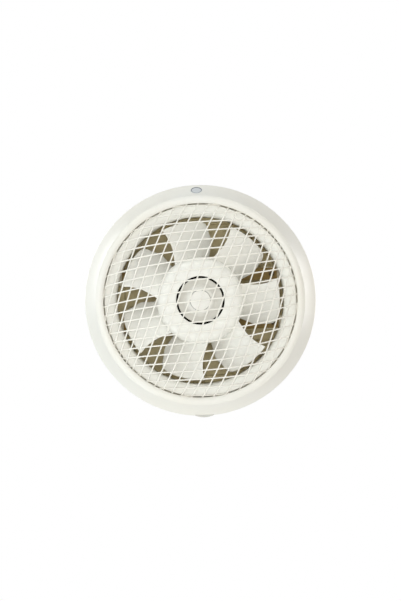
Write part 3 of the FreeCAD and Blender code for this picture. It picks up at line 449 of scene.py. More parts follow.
def hub():
    """Turned hub: outer wall, rounded shoulder, flat face, cup with its floor, and the boss on the
    shaft."""
    wall, bend = 2.5, 14
    bore_r, boss_r, boss_back = 4.02, 10.0, -7.7
    inner_r, inner_front, floor_back = HUB_R - wall, HUB_FRONT + wall, CUP_FLOOR + wall
    shoulder = ellipse_corner((HUB_R, HUB_FRONT + bend), (HUB_R, HUB_FRONT),
                              (HUB_R - bend, HUB_FRONT), 20)
    under = ellipse_corner((HUB_R - bend, inner_front), (inner_r, inner_front),
                           (inner_r, HUB_FRONT + bend), 10)
    cup = softened([tuple(shoulder[-1]), (CUP_R, HUB_FRONT, 1.1), (CUP_R, CUP_FLOOR, 0.4),
                    (bore_r, CUP_FLOOR), (bore_r, boss_back, 0.2), (boss_r, boss_back, 0.4),
                    (boss_r, floor_back, 0.8), (CUP_R + wall, floor_back, 0.5),
                    (CUP_R + wall, inner_front, 0.8), tuple(under[0])])
    back = softened([tuple(under[-1]), (inner_r, HUB_BACK, 0.5), (HUB_R, HUB_BACK, 0.5),
                     tuple(shoulder[0])])
    return turned(np.concatenate([shoulder[:-1], cup[:-1], under[:-1], back[:-1]]), 240)


def impeller():
    """Hub with the blades spread evenly round it."""
    first_turn = -4.1
    one = blade()
    return [hub()] + [spun(one, first_turn + 360.0 * k / BLADES) for k in range(BLADES)]


def cap():
    """Hollow cap on the floor of the cup: from its rim a shallow dish runs in to a round valley,
    then a boss rises to the flat land, where a fine groove runs round the button."""
    wall, lean = 2.0, 1.0
    land, groove = BUTTON_R + 0.6, CAP_FACE + 0.5
    valley, shoulder = land + (CAP_R - land) * 0.42, land + (CAP_R - land) * 0.18
    valley_y, shoulder_y = CAP_RIM_Y + 1.6, CAP_FACE + 0.8
    outside = [(0.0, groove), (BUTTON_R - 0.2, groove, 0.1), (BUTTON_R + 0.2, groove, 0.1),
               (BUTTON_R + 0.35, CAP_FACE, 0.12), (land, CAP_FACE, 0.1),
               (shoulder, shoulder_y, 1.6), (valley, valley_y, 2.3), (CAP_R, CAP_RIM_Y, 0.9)]
    inside = [(CAP_R, CUP_FLOOR, 0.3), (CAP_R - wall, CUP_FLOOR, 0.3),
              (CAP_R - wall, CAP_RIM_Y + wall, 0.6), (valley - lean, valley_y + wall, 1.0),
              (shoulder - lean, shoulder_y + wall, 0.8), (land - lean, CAP_FACE + wall, 0.3),
              (0.0, CAP_FACE + wall)]
    return [turned(softened(outside + inside, support=0.05), 180, closed=False)]


def button():
    """Low round button: a slightly domed face, top + 0.3 (r / R)^2, with a rounded edge."""
    top, dome, edge_run, edge_drop, foot_cut = CAP_FACE - 2.8, 0.3, 0.7, 1.1, 0.25
    r = np.linspace(0, BUTTON_R - edge_run, 16)
    face = np.stack([r, top + dome * (r / BUTTON_R) ** 2], -1)
    edge = ellipse_corner(face[-1], (BUTTON_R, face[-1, 1]), (BUTTON_R, top + edge_drop), 10)
    foot = np.array([(BUTTON_R, CAP_FACE - foot_cut), (BUTTON_R - foot_cut, CAP_FACE),
                     (0.0, CAP_FACE)])
    return [turned(np.concatenate([face, edge[1:], foot]), 144, closed=False)]


def seal():
    """Rubber ring on the floor of the cup, with rounded edges and a shallow groove along its
    crest."""
    gap, top, groove, groove_depth = 0.1, -23.2, 0.25, 0.3
    outer, inner = CUP_R - gap, CAP_R + gap
    middle = (outer + inner) / 2
    profile = softened([(outer, CUP_FLOOR, 0.2), (outer, top, 0.5), (middle + groove, top, 0.1),
                        (middle, top + groove_depth, 0.1), (middle - groove, top, 0.1),
                        (inner, top, 0.5), (inner, CUP_FLOOR, 0.2)], closed=True, support=0.08)
    return [turned(profile, 180)]


# Shutter flaps and screws

def flap_plate(top, low):
    """Plate of a flap between its lower edge and its hinge: a closed ring in y and z carried along
    x. The thickness falls as sqrt(1 - (1 - d / e)^2) for a distance d within e of an edge. The
    outer face carries a rolled lip and three beads, each a bell curve h exp(-((z - m) / w)^2), and
    the beads run out before the ends."""
    inner, thick, edge = 123.0, 1.6, 0.7
    bead, bead_width, bead_shares = 0.35, 1.1, (0.3, 0.52, 0.74)
    bead_inset, bead_fade = 9, 3
    lip, lip_width, lip_up = 0.9, 1.2, 1.6
    left, right = FLAP_LEFT, FLAP_RIGHT
    fine = edge * (1 - np.cos(np.linspace(0, math.pi / 2, 6)))
    x = np.concatenate([left + fine, np.linspace(left + 2, right - 2, 66), right - fine[::-1]])
    z = np.concatenate([low + fine, np.linspace(low + 1, top - 1, 70), top - fine[::-1]])
    across = np.minimum(np.minimum(z - low, top - z) / edge, 1)
    along = np.minimum(np.minimum(x - left, right - x) / edge, 1)
    round_z, round_x = np.sqrt(1 - (1 - across) ** 2), np.sqrt(1 - (1 - along) ** 2)
    half = thick / 2 * np.outer(round_x, round_z)
    fade = np.clip(np.minimum(x - left - bead_inset, right - bead_inset - x) / bead_fade, 0, 1)
    fade = fade * fade * (3 - 2 * fade)
    beads = sum(np.exp(-((z - low - share * (top - low)) / bead_width) ** 2)
                for share in bead_shares)
    rolled = lip * np.exp(-((z - low - lip_up) / lip_width) ** 2) * round_z
    raised = bead * np.outer(fade, beads) + np.outer(round_x, rolled)
    middle = inner + thick / 2
    xs, zs = np.meshgrid(x, z, indexing="ij")
    inside = np.stack([xs, middle - half, zs], -1)
    outside = np.stack([xs, middle + half + raised, zs], -1)
    return grid(np.concatenate([inside, outside[:, ::-1]], 1), False, True)


def flap(k):
    """Flap with its plate, the barrel and pins on its hinge line, and the crank ear that the tie
    bar turns on."""
    gap, cut = 3.8, 0.3
    pin_end, pin_r, barrel_r = 100.5, 2.0, 2.8
    ear_left, ear_half, ear_cut = 93.0, 3.7, 0.5
    crank_r, crank_end = 1.5, 97.4
    top = TOP_HINGE - FLAP_PITCH * k
    crank_y, crank_z = HINGE_Y + 8.0, top - 10.0
    rod = np.array([(-pin_end, 0.0), (-pin_end, pin_r - cut), (cut - pin_end, pin_r),
                    (FLAP_LEFT, pin_r), (FLAP_LEFT, barrel_r - cut), (FLAP_LEFT + cut, barrel_r),
                    (FLAP_RIGHT - cut, barrel_r), (FLAP_RIGHT, barrel_r - cut),
                    (FLAP_RIGHT, pin_r), (pin_end - cut, pin_r), (pin_end, pin_r - cut),
                    (pin_end, 0.0)])
    crank = np.array([(ear_left, 0.0), (ear_left, crank_r), (crank_end - cut, crank_r),
                      (crank_end, crank_r - cut), (crank_end, 0.0)])
    ear = slab((ear_left, FLAP_RIGHT), (HINGE_Y, crank_y + ear_half),
               (crank_z - ear_half, crank_z + ear_half), ear_cut)
    return [flap_plate(top, top - FLAP_PITCH + gap), lathe_along(rod, HINGE_Y, top), ear,
            lathe_along(crank, crank_y, crank_z, 20)]


def screw(seat, axis, shank_r, length, turn):
    """Pan-head screw about its own axis: the head is a low dome h (1 - 0.35 s^4) for a share s of
    its radius, with a cross recess sunk where the nearer of two arms is close, over a shank and a
    blunt end."""
    head, head_r, dome, skirt, end_cut = 1.6, shank_r * 1.8, 0.35, 0.3, 0.6
    recess, arm_half, arm_side, arm_reach, arm_end = 0.9, 0.17, 0.06, 0.66, 0.1
    count = 48
    side = unit(np.cross(axis, (0.31, 0.17, 0.93)))    # a direction that no screw has
    share = np.concatenate([np.linspace(0, 0.96, 13), [0.99, 1.0]])
    a = circle(count)
    arm = np.minimum(np.abs(np.outer(np.cos(a), share)), np.abs(np.outer(np.sin(a), share)))
    sunk = np.clip((arm_half - arm) / arm_side, 0, 1) * np.clip((arm_reach - share) / arm_end, 0, 1)
    under = np.array([(head_r, skirt), (head_r, 0.0), (shank_r, 0.0), (shank_r, end_cut - length),
                      (shank_r * 0.6, -length), (0.0, -length)])
    radii = np.concatenate([head_r * share, under[:, 0]])
    rises = np.concatenate([head * (1 - dome * share ** 4) - recess * sunk,
                            np.broadcast_to(under[:, 1], (count, len(under)))], 1)
    points = revolved(a + turn, radii, rises, seat, axis, side, np.cross(axis, side))
    return grid(points, True, False)


def screw_set(places, shank_r, length, first_turn, turn_step):
    """Screws at (seat, outward) places, each turned on from the one before."""
    return [screw(seat, outward, shank_r, length, first_turn + turn_step * k)
            for k, (seat, outward) in enumerate(places)]


def strap_screw_set():
    """Screws through the ends of the straps, heads to the room."""
    x, y, z = 91.67, 41.0, 30.97
    seats = np.array([(-x, y, -z), (-x, y, z), (x, y, -z), (x, y, z)])
    return screw_set([(seat, -Y) for seat in seats], shank_r=1.98, length=14.98, first_turn=0.4,
                     turn_step=0.9)


def shutter_screw_set():
    """Screws round the collar of the shutter, heads outwards."""
    collar_r, collar_y = 112.0, 90.0
    places = [around_axis(collar_r, 45 + 90 * k, collar_y) for k in range(4)]
    return screw_set(places, shank_r=1.38, length=4.8, first_turn=0.3, turn_step=0.8)


def retainer_screw_set():
    """Screws through the ring behind the net, heads to the wall."""
    ring_back = -20.3
    seats = [around_axis(BOSS_RING_R, 360 / BOSSES * k, ring_back)[0] for k in range(BOSSES)]
    return screw_set([(seat, Y) for seat in seats], shank_r=1.28, length=5.6, first_turn=0.0,
                     turn_step=0.7)


# Shader nodes

def join(tree, socket, value):
    """Gives a socket a plain value, or a link from a (node, output) pair."""
    if isinstance(value, tuple) and isinstance(value[0], bpy.types.Node):
        tree.links.new(value[0].outputs[value[1]], socket)
    else:
        socket.default_value = value


def wire(tree, node, **feeds):
    """Joins values or pairs to a node's sockets, in whose names a _ stands for a space."""
    for key, value in feeds.items():
        title = key.replace("_", " ")
        join(tree, next(s for s in node.inputs if s.name == title and s.enabled), value)
    return node


def put(tree, kind, options=None, **feeds):
    """New node with its options set and its sockets joined."""
    node = tree.nodes.new(kind)
    for key, value in (options or {}).items():
        setattr(node, key, value)
    return wire(tree, node, **feeds)


def math_node(tree, operation, a, b=0.0, c=0.0, clamp=False):
    """Math node as an output pair."""
    node = put(tree, "ShaderNodeMath", {"operation": operation, "use_clamp": clamp})
    for socket, value in zip(node.inputs, (a, b, c)):
        join(tree, socket, value)
    return node, "Value"


def times(tree, a, b, clamp=False):
    """Product as an output pair."""
    return math_node(tree, "MULTIPLY", a, b, clamp=clamp)


def spread(tree, value, low, high, to_low=0.0, to_high=1.0):
    """Map Range node, clamped, as an output pair."""
    node = put(tree, "ShaderNodeMapRange", {"clamp": True}, Value=value, From_Min=low,
               From_Max=high, To_Min=to_low, To_Max=to_high)
    return node, "Result"


def mixed(tree, share, a, b, blend="MIX"):
    """Colour mix as an output pair; a Mix node's colours are its inputs 6 and 7 and output 2."""
    node = put(tree, "ShaderNodeMix", {"data_type": "RGBA", "blend_type": blend})
    for socket, value in ((0, share), (6, a), (7, b)):
        join(tree, node.inputs[socket], value)
    return node, 2


def noise(tree, where, scale, detail, roughness=0.5, distortion=0.0):
    """Noise texture as an output pair."""
    return put(tree, "ShaderNodeTexNoise", Vector=where, Scale=scale, Detail=detail,
               Roughness=roughness, Distortion=distortion), "Fac"


def object_place(tree):
    """A point's own place on its piece, in metres, as an output pair."""
    return put(tree, "ShaderNodeTexCoord"), "Object"


def band(tree, value, start, full, fade, end):
    """Share that rises from start to full and falls from fade to end."""
    return times(tree, spread(tree, value, start, full), spread(tree, value, end, fade))


# Effects that several finishes share

COLOURS = ("Color", "Warm Tint", "Stain")    # sockets that carry a colour; others carry a number
SURFACE = ("Color", "Roughness", "Height")
DUST_COLOUR = (0.42, 0.38, 0.3, 1)
STREAK_COLOUR = (0.3, 0.26, 0.18, 1)


def group(name, inputs, outputs):
    """Empty shader node group with its named sockets, as tree, input node and output node."""
    tree = bpy.data.node_groups.new(name, "ShaderNodeTree")
    for way, titles in (("INPUT", inputs), ("OUTPUT", outputs)):
        for title in titles:
            kind = "NodeSocketColor" if title in COLOURS else "NodeSocketFloat"
            tree.interface.new_socket(title, in_out=way, socket_type=kind)
    return tree, tree.nodes.new("NodeGroupInput"), tree.nodes.new("NodeGroupOutput")


def place_group():
    """Radius from the fan axis and depth along it, in metres."""
    tree, _, out = group("fan_place", (), ("Radius", "Depth"))
    split = put(tree, "ShaderNodeSeparateXYZ", Vector=object_place(tree))
    x, y, z = ((split, axis) for axis in "XYZ")
    square = math_node(tree, "ADD", times(tree, x, x), times(tree, z, z))
    wire(tree, out, Radius=math_node(tree, "SQRT", square), Depth=y)
    return tree


def gloss_between(tree, given, share):
    """Roughness at a share of the way from a group's Gloss Low to its Gloss High."""
    low, high = (given, "Gloss Low"), (given, "Gloss High")
    return math_node(tree, "MULTIPLY_ADD", share, math_node(tree, "SUBTRACT", high, low), low)


def moulding_group():
    """Moulded plastic: slow drift of tone, faint flow marks, fine grain for the bump, and rubbed
    patches that change the gloss."""
    tree, given, out = group("moulded_surface", (
        "Color", "Warm Tint", "Drift", "Grain Size", "Gloss Low", "Gloss High"), SURFACE)
    where = object_place(tree)
    slow = noise(tree, where, 11.0, 3.0, 0.55)
    flow = noise(tree, where, 46.0, 4.0, 0.6, 0.8)
    grain = noise(tree, where, (given, "Grain Size"), 2.0)
    drift = times(tree, spread(tree, slow, 0.3, 0.7), (given, "Drift"))
    tone = mixed(tree, drift, (given, "Color"), (given, "Warm Tint"))
    mark = spread(tree, flow, 0.35, 0.75, 0.985, 1.0)
    marks = put(tree, "ShaderNodeCombineColor", Red=mark, Green=mark, Blue=mark)
    wire(tree, out, Color=mixed(tree, 1.0, tone, (marks, "Color"), "MULTIPLY"),
         Roughness=gloss_between(tree, given, spread(tree, flow, 0.3, 0.7)), Height=grain)
    return tree


def dust_group():
    """Dust on faces that look upwards and in patches: mixes a dust colour over the given one."""
    tree, given, out = group("settled_dust", ("Color", "Amount"), ("Color",))
    where = object_place(tree)
    face = put(tree, "ShaderNodeSeparateXYZ", Vector=(where[0], "Normal"))
    up = spread(tree, (face, "Z"), 0.1, 0.95, 0.15, 1.0)
    patches = spread(tree, noise(tree, where, 90.0, 5.0, 0.65), 0.35, 0.8)
    cover = times(tree, up, patches)
    share = times(tree, cover, (given, "Amount"), clamp=True)
    wire(tree, out, Color=mixed(tree, share, (given, "Color"), DUST_COLOUR))
    return tree


def streak_group():
    """Weather streaks: stains that run down along Z, broken by patches."""
    tree, given, out = group("weather_streaks", ("Color", "Amount"), ("Color",))
    where = object_place(tree)
    stretch = put(tree, "ShaderNodeMapping", Vector=where, Scale=(70.0, 70.0, 4.0))
    runs = spread(tree, noise(tree, (stretch, "Vector"), 1.0, 4.0, 0.6), 0.45, 0.8)
    patches = spread(tree, noise(tree, where, 24.0, 3.0), 0.3, 0.75)
    cover = times(tree, runs, patches)
    share = times(tree, cover, (given, "Amount"), clamp=True)
    wire(tree, out, Color=mixed(tree, share, (given, "Color"), STREAK_COLOUR))
    return tree


def drawn_metal_group():
    """Drawn or turned metal: long fine streaks along X and stains, for colour, gloss and bump."""
    tree, given, out = group("drawn_metal", (
        "Color", "Stain", "Stain Share", "Gloss Low", "Gloss High"), SURFACE)
    where = object_place(tree)
    stretch = put(tree, "ShaderNodeMapping", Vector=where, Scale=(40.0, 900.0, 900.0))
    streaks = noise(tree, (stretch, "Vector"), 1.0, 3.0)
    stains = spread(tree, noise(tree, where, 120.0, 5.0, 0.7), 0.5, 0.75)
    share = times(tree, stains, (given, "Stain Share"))
    wire(tree, out, Color=mixed(tree, share, (given, "Color"), (given, "Stain")),
         Roughness=gloss_between(tree, given, spread(tree, streaks, 0.3, 0.7)), Height=streaks)
    return tree


FAN_PLACE = place_group()
MOULDED = moulding_group()
DUST = dust_group()
STREAKS = streak_group()
DRAWN = drawn_metal_group()


# Finishes

def rgb(r, g, b):
    """Colour written in screen values from 0 to 255, as a linear colour."""
    c = np.array([r, g, b]) / 255
    line = np.where(c <= 0.04045, c / 12.92, ((c + 0.055) / 1.055) ** 2.4)
    return (*[float(v) for v in line], 1.0)


def placed(tree, effect, **feeds):
    """Shared effect set into a material with its own values."""
    return put(tree, "ShaderNodeGroup", {"node_tree": effect}, **feeds)


def emptied(owner):
    """Empty node tree of a material or a world."""
    owner.use_nodes = True
    owner.node_tree.nodes.clear()
    return owner.node_tree


def blank(name):
    """Material with a Principled shader, as material, tree and shader."""
    material = bpy.data.materials.new(name)
    tree = emptied(material)
    shader = tree.nodes.new("ShaderNodeBsdfPrincipled")
    put(tree, "ShaderNodeOutputMaterial", Surface=(shader, "BSDF"))
    return material, tree, shader


def feed(tree, shader, colour, gloss, height, depth):
    """Colour, gloss and a bump of the given depth in millimetres into a shader."""
    bump = put(tree, "ShaderNodeBump", Strength=0.6, Distance=depth * MM, Height=height)
    wire(tree, shader, Base_Color=colour, Roughness=gloss, Normal=(bump, "Normal"))


def moulding(tree, colour, tint, drift, gloss, grain):
    """Moulded surface set into a material, with its colours in screen values."""
    return placed(tree, MOULDED, Color=rgb(*colour), Warm_Tint=rgb(*tint), Drift=drift,
                  Grain_Size=grain, Gloss_Low=gloss[0], Gloss_High=gloss[1])


def drawn(tree, colour, stain, share, gloss):
    """Drawn metal set into a material, with its colours in screen values."""
    return placed(tree, DRAWN, Color=rgb(*colour), Stain=rgb(*stain), Stain_Share=share,
                  Gloss_Low=gloss[0], Gloss_High=gloss[1])


def moulded_plastic(name, colour, tint, drift, gloss, grain=900.0, depth=0.02, dust=0.1, shade_and_soil=None,
                    streaks=0.0, specular=0.5):
    """Moulded plastic with drift, grain, dust and weather streaks. shade_and_soil is (inner radius,
    outer radius, share, colour): a darker film with a ragged edge that grows from the outer radius
    to the inner one, in millimetres; it stands for grime and for painted shade there."""
    material, tree, shader = blank(name)
    base = moulding(tree, colour, tint, drift, gloss, grain)
    top = (base, "Color")
    # painted shade with grime: a darker film with a ragged edge between two radii
    if shade_and_soil:
        inner, outer, share, film = shade_and_soil
        wander = 4.0
        ragged = noise(tree, object_place(tree), 60.0, 4.0)
        radius = (placed(tree, FAN_PLACE), "Radius")
        radius = math_node(tree, "MULTIPLY_ADD", ragged, wander * MM, radius)
        near = spread(tree, radius, (outer + wander / 2) * MM, (inner + wander / 2) * MM)
        top = mixed(tree, times(tree, near, share), top, rgb(*film))
    if streaks:
        top = (placed(tree, STREAKS, Color=top, Amount=streaks), "Color")
    top = (placed(tree, DUST, Color=top, Amount=dust), "Color")
    wire(tree, shader, Specular_IOR_Level=specular)
    feed(tree, shader, top, (base, "Roughness"), (base, "Height"), depth)
    return material


def painted_steel(name, colour, worn, gloss):
    """Painted sheet: orange-peel bump, dull patches and dust."""
    return moulded_plastic(name, colour, worn, 0.25, gloss, grain=420.0, depth=0.05, dust=0.3)


def rubber(name, colour, tint, grain, depth):
    """Rubber or foam: matte, with pores in the bump."""
    return moulded_plastic(name, colour, tint, 0.4, (0.6, 0.85), grain, depth, dust=0.18,
                           specular=0.08)


def metal(name, colour, stain, share, gloss):
    """Drawn or turned metal."""
    material, tree, shader = blank(name)
    base = drawn(tree, colour, stain, share, gloss)
    wire(tree, shader, Metallic=1.0)
    feed(tree, shader, (base, "Color"), (base, "Roughness"), (base, "Height"), 0.01)
    return material


def waves(tree, value, rate):
    """Sine waves along a value in metres, from 0 to 1, with a rate in radians per metre."""
    wave = math_node(tree, "SINE", times(tree, value, rate))
    return spread(tree, wave, -1.0, 1.0)


def cap_finish():
    """Satin cap: by the radius from the fan axis, fine turning rings in the bump, a boss painted
    paler as painted light where it catches the lamps, and a dark line of painted shade, with dirt,
    in the groove round the button."""
    material, tree, shader = blank("cap_satin")
    base = moulding(tree, (216, 213, 203), (196, 192, 184), 0.1, (0.34, 0.46), 700.0)
    radius = (placed(tree, FAN_PLACE), "Radius")
    # painted light: the raised boss is painted paler, standing for the light it catches
    boss = spread(tree, radius, 21.0 * MM, 15.5 * MM)
    pale = mixed(tree, boss, (base, "Color"), rgb(236, 234, 226))
    # painted shade with dirt: a darker line in the groove round the button
    groove_shade_and_dirt = band(tree, radius, 12.35 * MM, 12.55 * MM, 12.9 * MM, 13.15 * MM)
    colour = mixed(tree, times(tree, groove_shade_and_dirt, 0.75), pale, rgb(104, 100, 92))
    feed(tree, shader, colour, (base, "Roughness"), waves(tree, radius, rate=9000.0), 0.012)
    return material


def badge_finish():
    """Plain disc: pale face, with a grey ring where the raised rim starts: painted shade in that
    inner corner.
    """
    material, tree, shader = blank("badge_plate")
    base = moulding(tree, (206, 209, 210), (182, 186, 188), 0.3, (0.22, 0.36), 1500.0)
    from_middle = put(tree, "ShaderNodeVectorMath", {"operation": "SUBTRACT"},
                      Vector=object_place(tree))
    from_middle.inputs[1].default_value = BADGE_SPOT * MM
    away = put(tree, "ShaderNodeVectorMath", {"operation": "LENGTH"},
               Vector=(from_middle, "Vector"))
    # painted shade: a grey ring in the inner corner where the rim rises from the face
    ring = band(tree, (away, "Value"), 5.7 * MM, 6.0 * MM, 6.6 * MM, 6.9 * MM)
    colour = mixed(tree, times(tree, ring, 0.95), (base, "Color"), rgb(92, 97, 100))
    feed(tree, shader, colour, (base, "Roughness"), (base, "Height"), 0.01)
    return material


def laminated(name, colour):
    """Stack of sheets: bands along the fan axis in the bump."""
    material, tree, shader = blank(name)
    base = drawn(tree, colour, (70, 60, 52), 0.5, (0.45, 0.65))
    sheets = waves(tree, (placed(tree, FAN_PLACE), "Depth"), rate=12000.0)
    wire(tree, shader, Metallic=0.7)
    feed(tree, shader, (base, "Color"), (base, "Roughness"), sheets, 0.06)
    return material


def wound_copper():
    """Varnished windings: round turns as waves along the radius, coloured darker between the turns.
    """
    material, tree, shader = blank("winding_copper")
    base = drawn(tree, (184, 106, 58), (96, 48, 26), 0.6, (0.3, 0.45))
    turns = waves(tree, (placed(tree, FAN_PLACE), "Radius"), rate=9000.0)
    colour = mixed(tree, turns, rgb(88, 44, 22), (base, "Color"))
    wire(tree, shader, Metallic=0.8)
    feed(tree, shader, colour, (base, "Roughness"), turns, 0.12)
    return material


def painted(names, material):
    """Gives a finish to nodes, or to the pieces that stand for them."""
    for name in names:
        mesh = (dressed.get(name) or nodes[name]).data
        mesh.materials.clear()
        mesh.materials.append(material)


# Pieces

made("bezel_shell", bezel_shell(), "front_bezel", 40)
made("badge_disc", badge(), "badge_blank")
made("net_bars", net(), "mesh_grille", 60)
made("bell_shell", bell(), "bell_mouth", 40)
made("fan_wheel", impeller(), "impeller", 50, "rotor")
made("cap_cone", cap(), "spinner_cap", body="rotor")
made("cap_button", button(), "spinner_button", 50, "rotor")
made("cap_seal", seal(), "spinner_seal", body="rotor")

FLAP_NAMES = ["shutter_flap_%d" % (k + 1) for k in range(FLAPS)]
SHELLS = ("motor_front_shell", "motor_rear_shell")
STRAPS = ("motor_strap_upper", "motor_strap_lower")

eased("duct_sleeve", sharp=14.0)
eased("shutter_frame", 0.5, sharp=14.0)
for k, name in enumerate(FLAP_NAMES):
    made("flap_%d_panel" % (k + 1), flap(k), name, body=name)
made("strap_screw_set", strap_screw_set(), "strap_screws")
made("shutter_screw_set", shutter_screw_set(), "shutter_screws")
made("retainer_screw_set", retainer_screw_set(), "retainer_screws")
eased("tie_bar", 0.3, body="tie_bar")
eased("cord_inlet", 0.5, 3)
for name in SHELLS:
    eased(name)
for name in STRAPS:
    eased(name, 0.4)
eased("wall_gasket")

BEIGE, BEIGE_TINT = (238, 224, 181), (228, 212, 165)
# colour of the darker film at the bell's throat: grime and painted shade
THROAT_SHADE_AND_GREASE = (150, 138, 112)
SATIN, DULL = (0.3, 0.42), (0.45, 0.6)

painted(["front_bezel"], moulded_plastic(
    "bezel_plastic", (240, 238, 229), (236, 229, 210), 0.35, SATIN, dust=0.06))
painted(["badge_blank"], badge_finish())
painted(["mesh_grille"], moulded_plastic(
    "net_coat", (243, 240, 230), (237, 232, 218), 0.3, (0.34, 0.48), grain=1300.0,
    depth=0.04, dust=0.05))
# the film towards the throat is painted shade where the bell curves in, with grime
painted(["bell_mouth"], moulded_plastic(
    "bell_plastic", (249, 248, 241), (242, 237, 222), 0.3, SATIN, dust=0.04,
    shade_and_soil=(103.5, 108.0, 0.3, THROAT_SHADE_AND_GREASE)))
painted(["impeller"], moulded_plastic(
    "impeller_plastic", (250, 249, 242), (243, 240, 228), 0.3, (0.22, 0.32), dust=0.04))
painted(["spinner_cap"], cap_finish())
painted(["spinner_button"], moulded_plastic(
    "button_gloss", (248, 246, 239), (240, 237, 228), 0.3, (0.26, 0.36), dust=0.05))
painted(["spinner_seal"], rubber(
    "black_rubber", (13, 9, 4), (24, 18, 9), grain=1400.0, depth=0.05))
painted(["duct_sleeve"], moulded_plastic(
    "sleeve_plastic", (242, 236, 217), (232, 224, 200), 0.4, DULL, grain=700.0, depth=0.05,
    dust=0.16, streaks=0.22))
painted(["shutter_frame", "tie_bar"], moulded_plastic(
    "shutter_plastic", BEIGE, BEIGE_TINT, 0.5, DULL, grain=600.0, depth=0.06, dust=0.2))
painted(FLAP_NAMES, moulded_plastic(
    "flap_plastic", BEIGE, BEIGE_TINT, 0.5, DULL, grain=600.0, depth=0.06, dust=0.14,
    streaks=0.22))
# the inlet's grey plastic is darkened further as painted shade under the fan
painted(["cord_inlet"], moulded_plastic(
    "inlet_grey", (208, 207, 199), (194, 192, 182), 0.4, (0.4, 0.55), grain=700.0,
    depth=0.05, dust=0.15))
painted(["grille_retainer", "terminal_block", "terminal_cover"], moulded_plastic(
    "hidden_plastic", (214, 211, 201), (198, 192, 178), 0.4, DULL, grain=700.0, depth=0.05))
painted(["wall_gasket"], rubber(
    "gasket_foam", (58, 57, 55), (78, 76, 72), grain=520.0, depth=0.35))
painted(["motor_lead", "lead_grommet"], rubber(
    "lead_sheath", (206, 192, 150), (190, 174, 130), grain=500.0, depth=0.03))
painted(STRAPS, painted_steel("strap_paint", (146, 120, 66), (118, 95, 50), DULL))
painted(SHELLS, painted_steel("motor_case", (86, 84, 80), (64, 60, 56), (0.3, 0.45)))
painted(["run_capacitor"], moulded_plastic(
    "capacitor_case", (40, 41, 43), (60, 58, 54), 0.4, (0.3, 0.45)))
painted(["retainer_screws", "shutter_screws", "capacitor_clip", "lock_washer", "retaining_nut"],
        metal("zinc_steel", (200, 199, 192), (150, 140, 118), 0.5, (0.25, 0.45)))
painted(["strap_screws", "motor_bolts", "motor_nuts"],
        metal("dulled_zinc", (128, 115, 90), (96, 82, 60), 0.7, (0.5, 0.7)))
painted(["terminal_screws"],
        metal("terminal_brass", (206, 170, 98), (120, 90, 50), 0.4, (0.25, 0.4)))
painted(["shaft", "drive_pin", "front_bearing", "rear_bearing", "shaft_spacers"],
        metal("polished_steel", (202, 203, 205), (140, 134, 124), 0.3, (0.15, 0.3)))
painted(["rotor_cage"],
        metal("cage_aluminium", (214, 214, 216), (160, 158, 154), 0.4, (0.35, 0.5)))
painted(["stator_core", "rotor_core"], laminated("lamination", (132, 132, 134)))
painted(["stator_windings"], wound_copper())


# Studio

WHITE = (1, 1, 1, 1)
COOL, WARM = (0.85, 0.95, 1.0), (1.0, 0.97, 0.92)    # daylight side, room side


def white_where_seen(tree, plain, white, end):
    """Plain shader for the light that falls on things, and a white one for what the camera, a gloss
    or a clear surface sees."""
    path = put(tree, "ShaderNodeLightPath")
    seen = math_node(tree, "MAXIMUM", (path, "Is Camera Ray"), (path, "Is Transmission Ray"))
    seen = math_node(tree, "MAXIMUM", seen, (path, "Is Glossy Ray"))
    either = tree.nodes.new("ShaderNodeMixShader")
    for socket, value in zip(either.inputs, (seen, (plain, 0), (white, 0))):
        join(tree, socket, value)
    wire(tree, end, Surface=(either, "Shader"))


def plain_world(strength):
    """Even pale light all round, seen as white."""
    world = bpy.data.worlds.new("studio")
    bpy.context.scene.world = world
    tree = emptied(world)
    soft = put(tree, "ShaderNodeBackground", Color=WHITE, Strength=strength)
    white = put(tree, "ShaderNodeBackground", Color=WHITE, Strength=1.0)
    white_where_seen(tree, soft, white, tree.nodes.new("ShaderNodeOutputWorld"))


def floor(half, level):
    """Large pale sheet below the fan, seen as white."""
    side = np.linspace(-half, half, 13)
    x, y = np.meshgrid(side, side, indexing="ij")
    points, quads = grid(np.stack([x, y, np.full_like(x, level)], -1))
    mesh = bpy.data.meshes.new("studio_floor")
    mesh.from_pydata((points * MM).tolist(), [], quads.tolist())
    piece = shown("studio_floor", mesh)
    material, tree, shader = blank("floor_paint")
    wire(tree, shader, Base_Color=(0.86, 0.86, 0.86, 1), Roughness=0.9)
    glow = put(tree, "ShaderNodeEmission", Color=WHITE, Strength=1.0)
    end = next(node for node in tree.nodes if node.type == "OUTPUT_MATERIAL")
    white_where_seen(tree, shader, glow, end)
    mesh.materials.append(material)


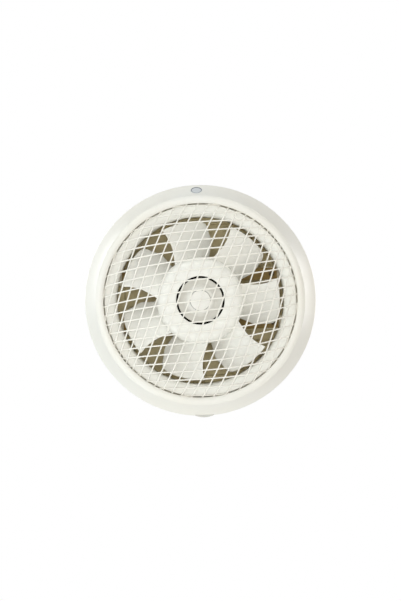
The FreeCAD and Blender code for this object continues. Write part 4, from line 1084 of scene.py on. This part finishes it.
def soft_box(name, place, size, power, tall=None, gloss=True, tint=WHITE[:3]):
    """Soft light, square or taller, that faces the middle of the fan, with place and size in
    metres; it may leave no highlight."""
    data = bpy.data.lights.new(name, "AREA")
    data.shape = "RECTANGLE"
    data.size = size
    data.size_y = tall or size
    data.energy = power
    data.color = tint
    light = shown(name, data)
    light.location = place
    light.rotation_euler = (-Vector(place)).to_track_quat("-Z", "Y").to_euler()
    light.visible_glossy = gloss


def camera():
    """Straight view from 3 m, rolled a little and moved a little aside, in metres. The frame's 601
    rows stand 1.2576 mm apart at the wall."""
    away, roll = 3.0, math.radians(2.1)
    rows, row_step = 601, 1.2576 * MM
    aside, down = 0.13 * MM, 0.18 * MM
    data = bpy.data.cameras.new("view")
    data.sensor_width = 36.0
    data.lens = data.sensor_width * away / (rows * row_step)
    data.clip_end = 50.0
    right = Vector((math.cos(roll), 0, -math.sin(roll)))
    up = Vector((math.sin(roll), 0, math.cos(roll)))
    eye = shown("view", data)
    eye.matrix_world = Matrix((right, up, Vector((0, -1, 0)))).transposed().to_4x4()
    eye.location = Vector((0, -away, 0)) + right * aside - up * down
    bpy.context.scene.camera = eye


plain_world(0.38)
floor(half=9000.0, level=-2600.0)
soft_box("key_left", (-2.2, -0.95, -0.2), 0.9, 7.5, tall=2.6, tint=COOL)
soft_box("high_left", (-1.0, -0.7, 1.8), 1.2, 11.5, tint=COOL)
soft_box("low_left", (-1.4, -0.6, -1.4), 1.2, 10.5, tint=COOL)
soft_box("side_right", (1.7, -0.9, -1.1), 1.3, 8.3, tint=WARM)
soft_box("top_panel", (0.5, -0.9, 2.2), 1.2, 7.0)
soft_box("front_panel", (-1.3, -2.9, -0.6), 1.3, 10.5)
soft_box("front_fill", (0.0, -3.4, 0.0), 0.6, 35.0, gloss=False)
soft_box("back_panel_left", (-1.7, 2.6, 0.7), 1.5, 30.0)
soft_box("back_panel_right", (2.0, 2.2, 0.2), 1.5, 24.0)
camera()
bpy.context.scene.view_settings.view_transform = "Standard"

bpy.context.view_layer.update()
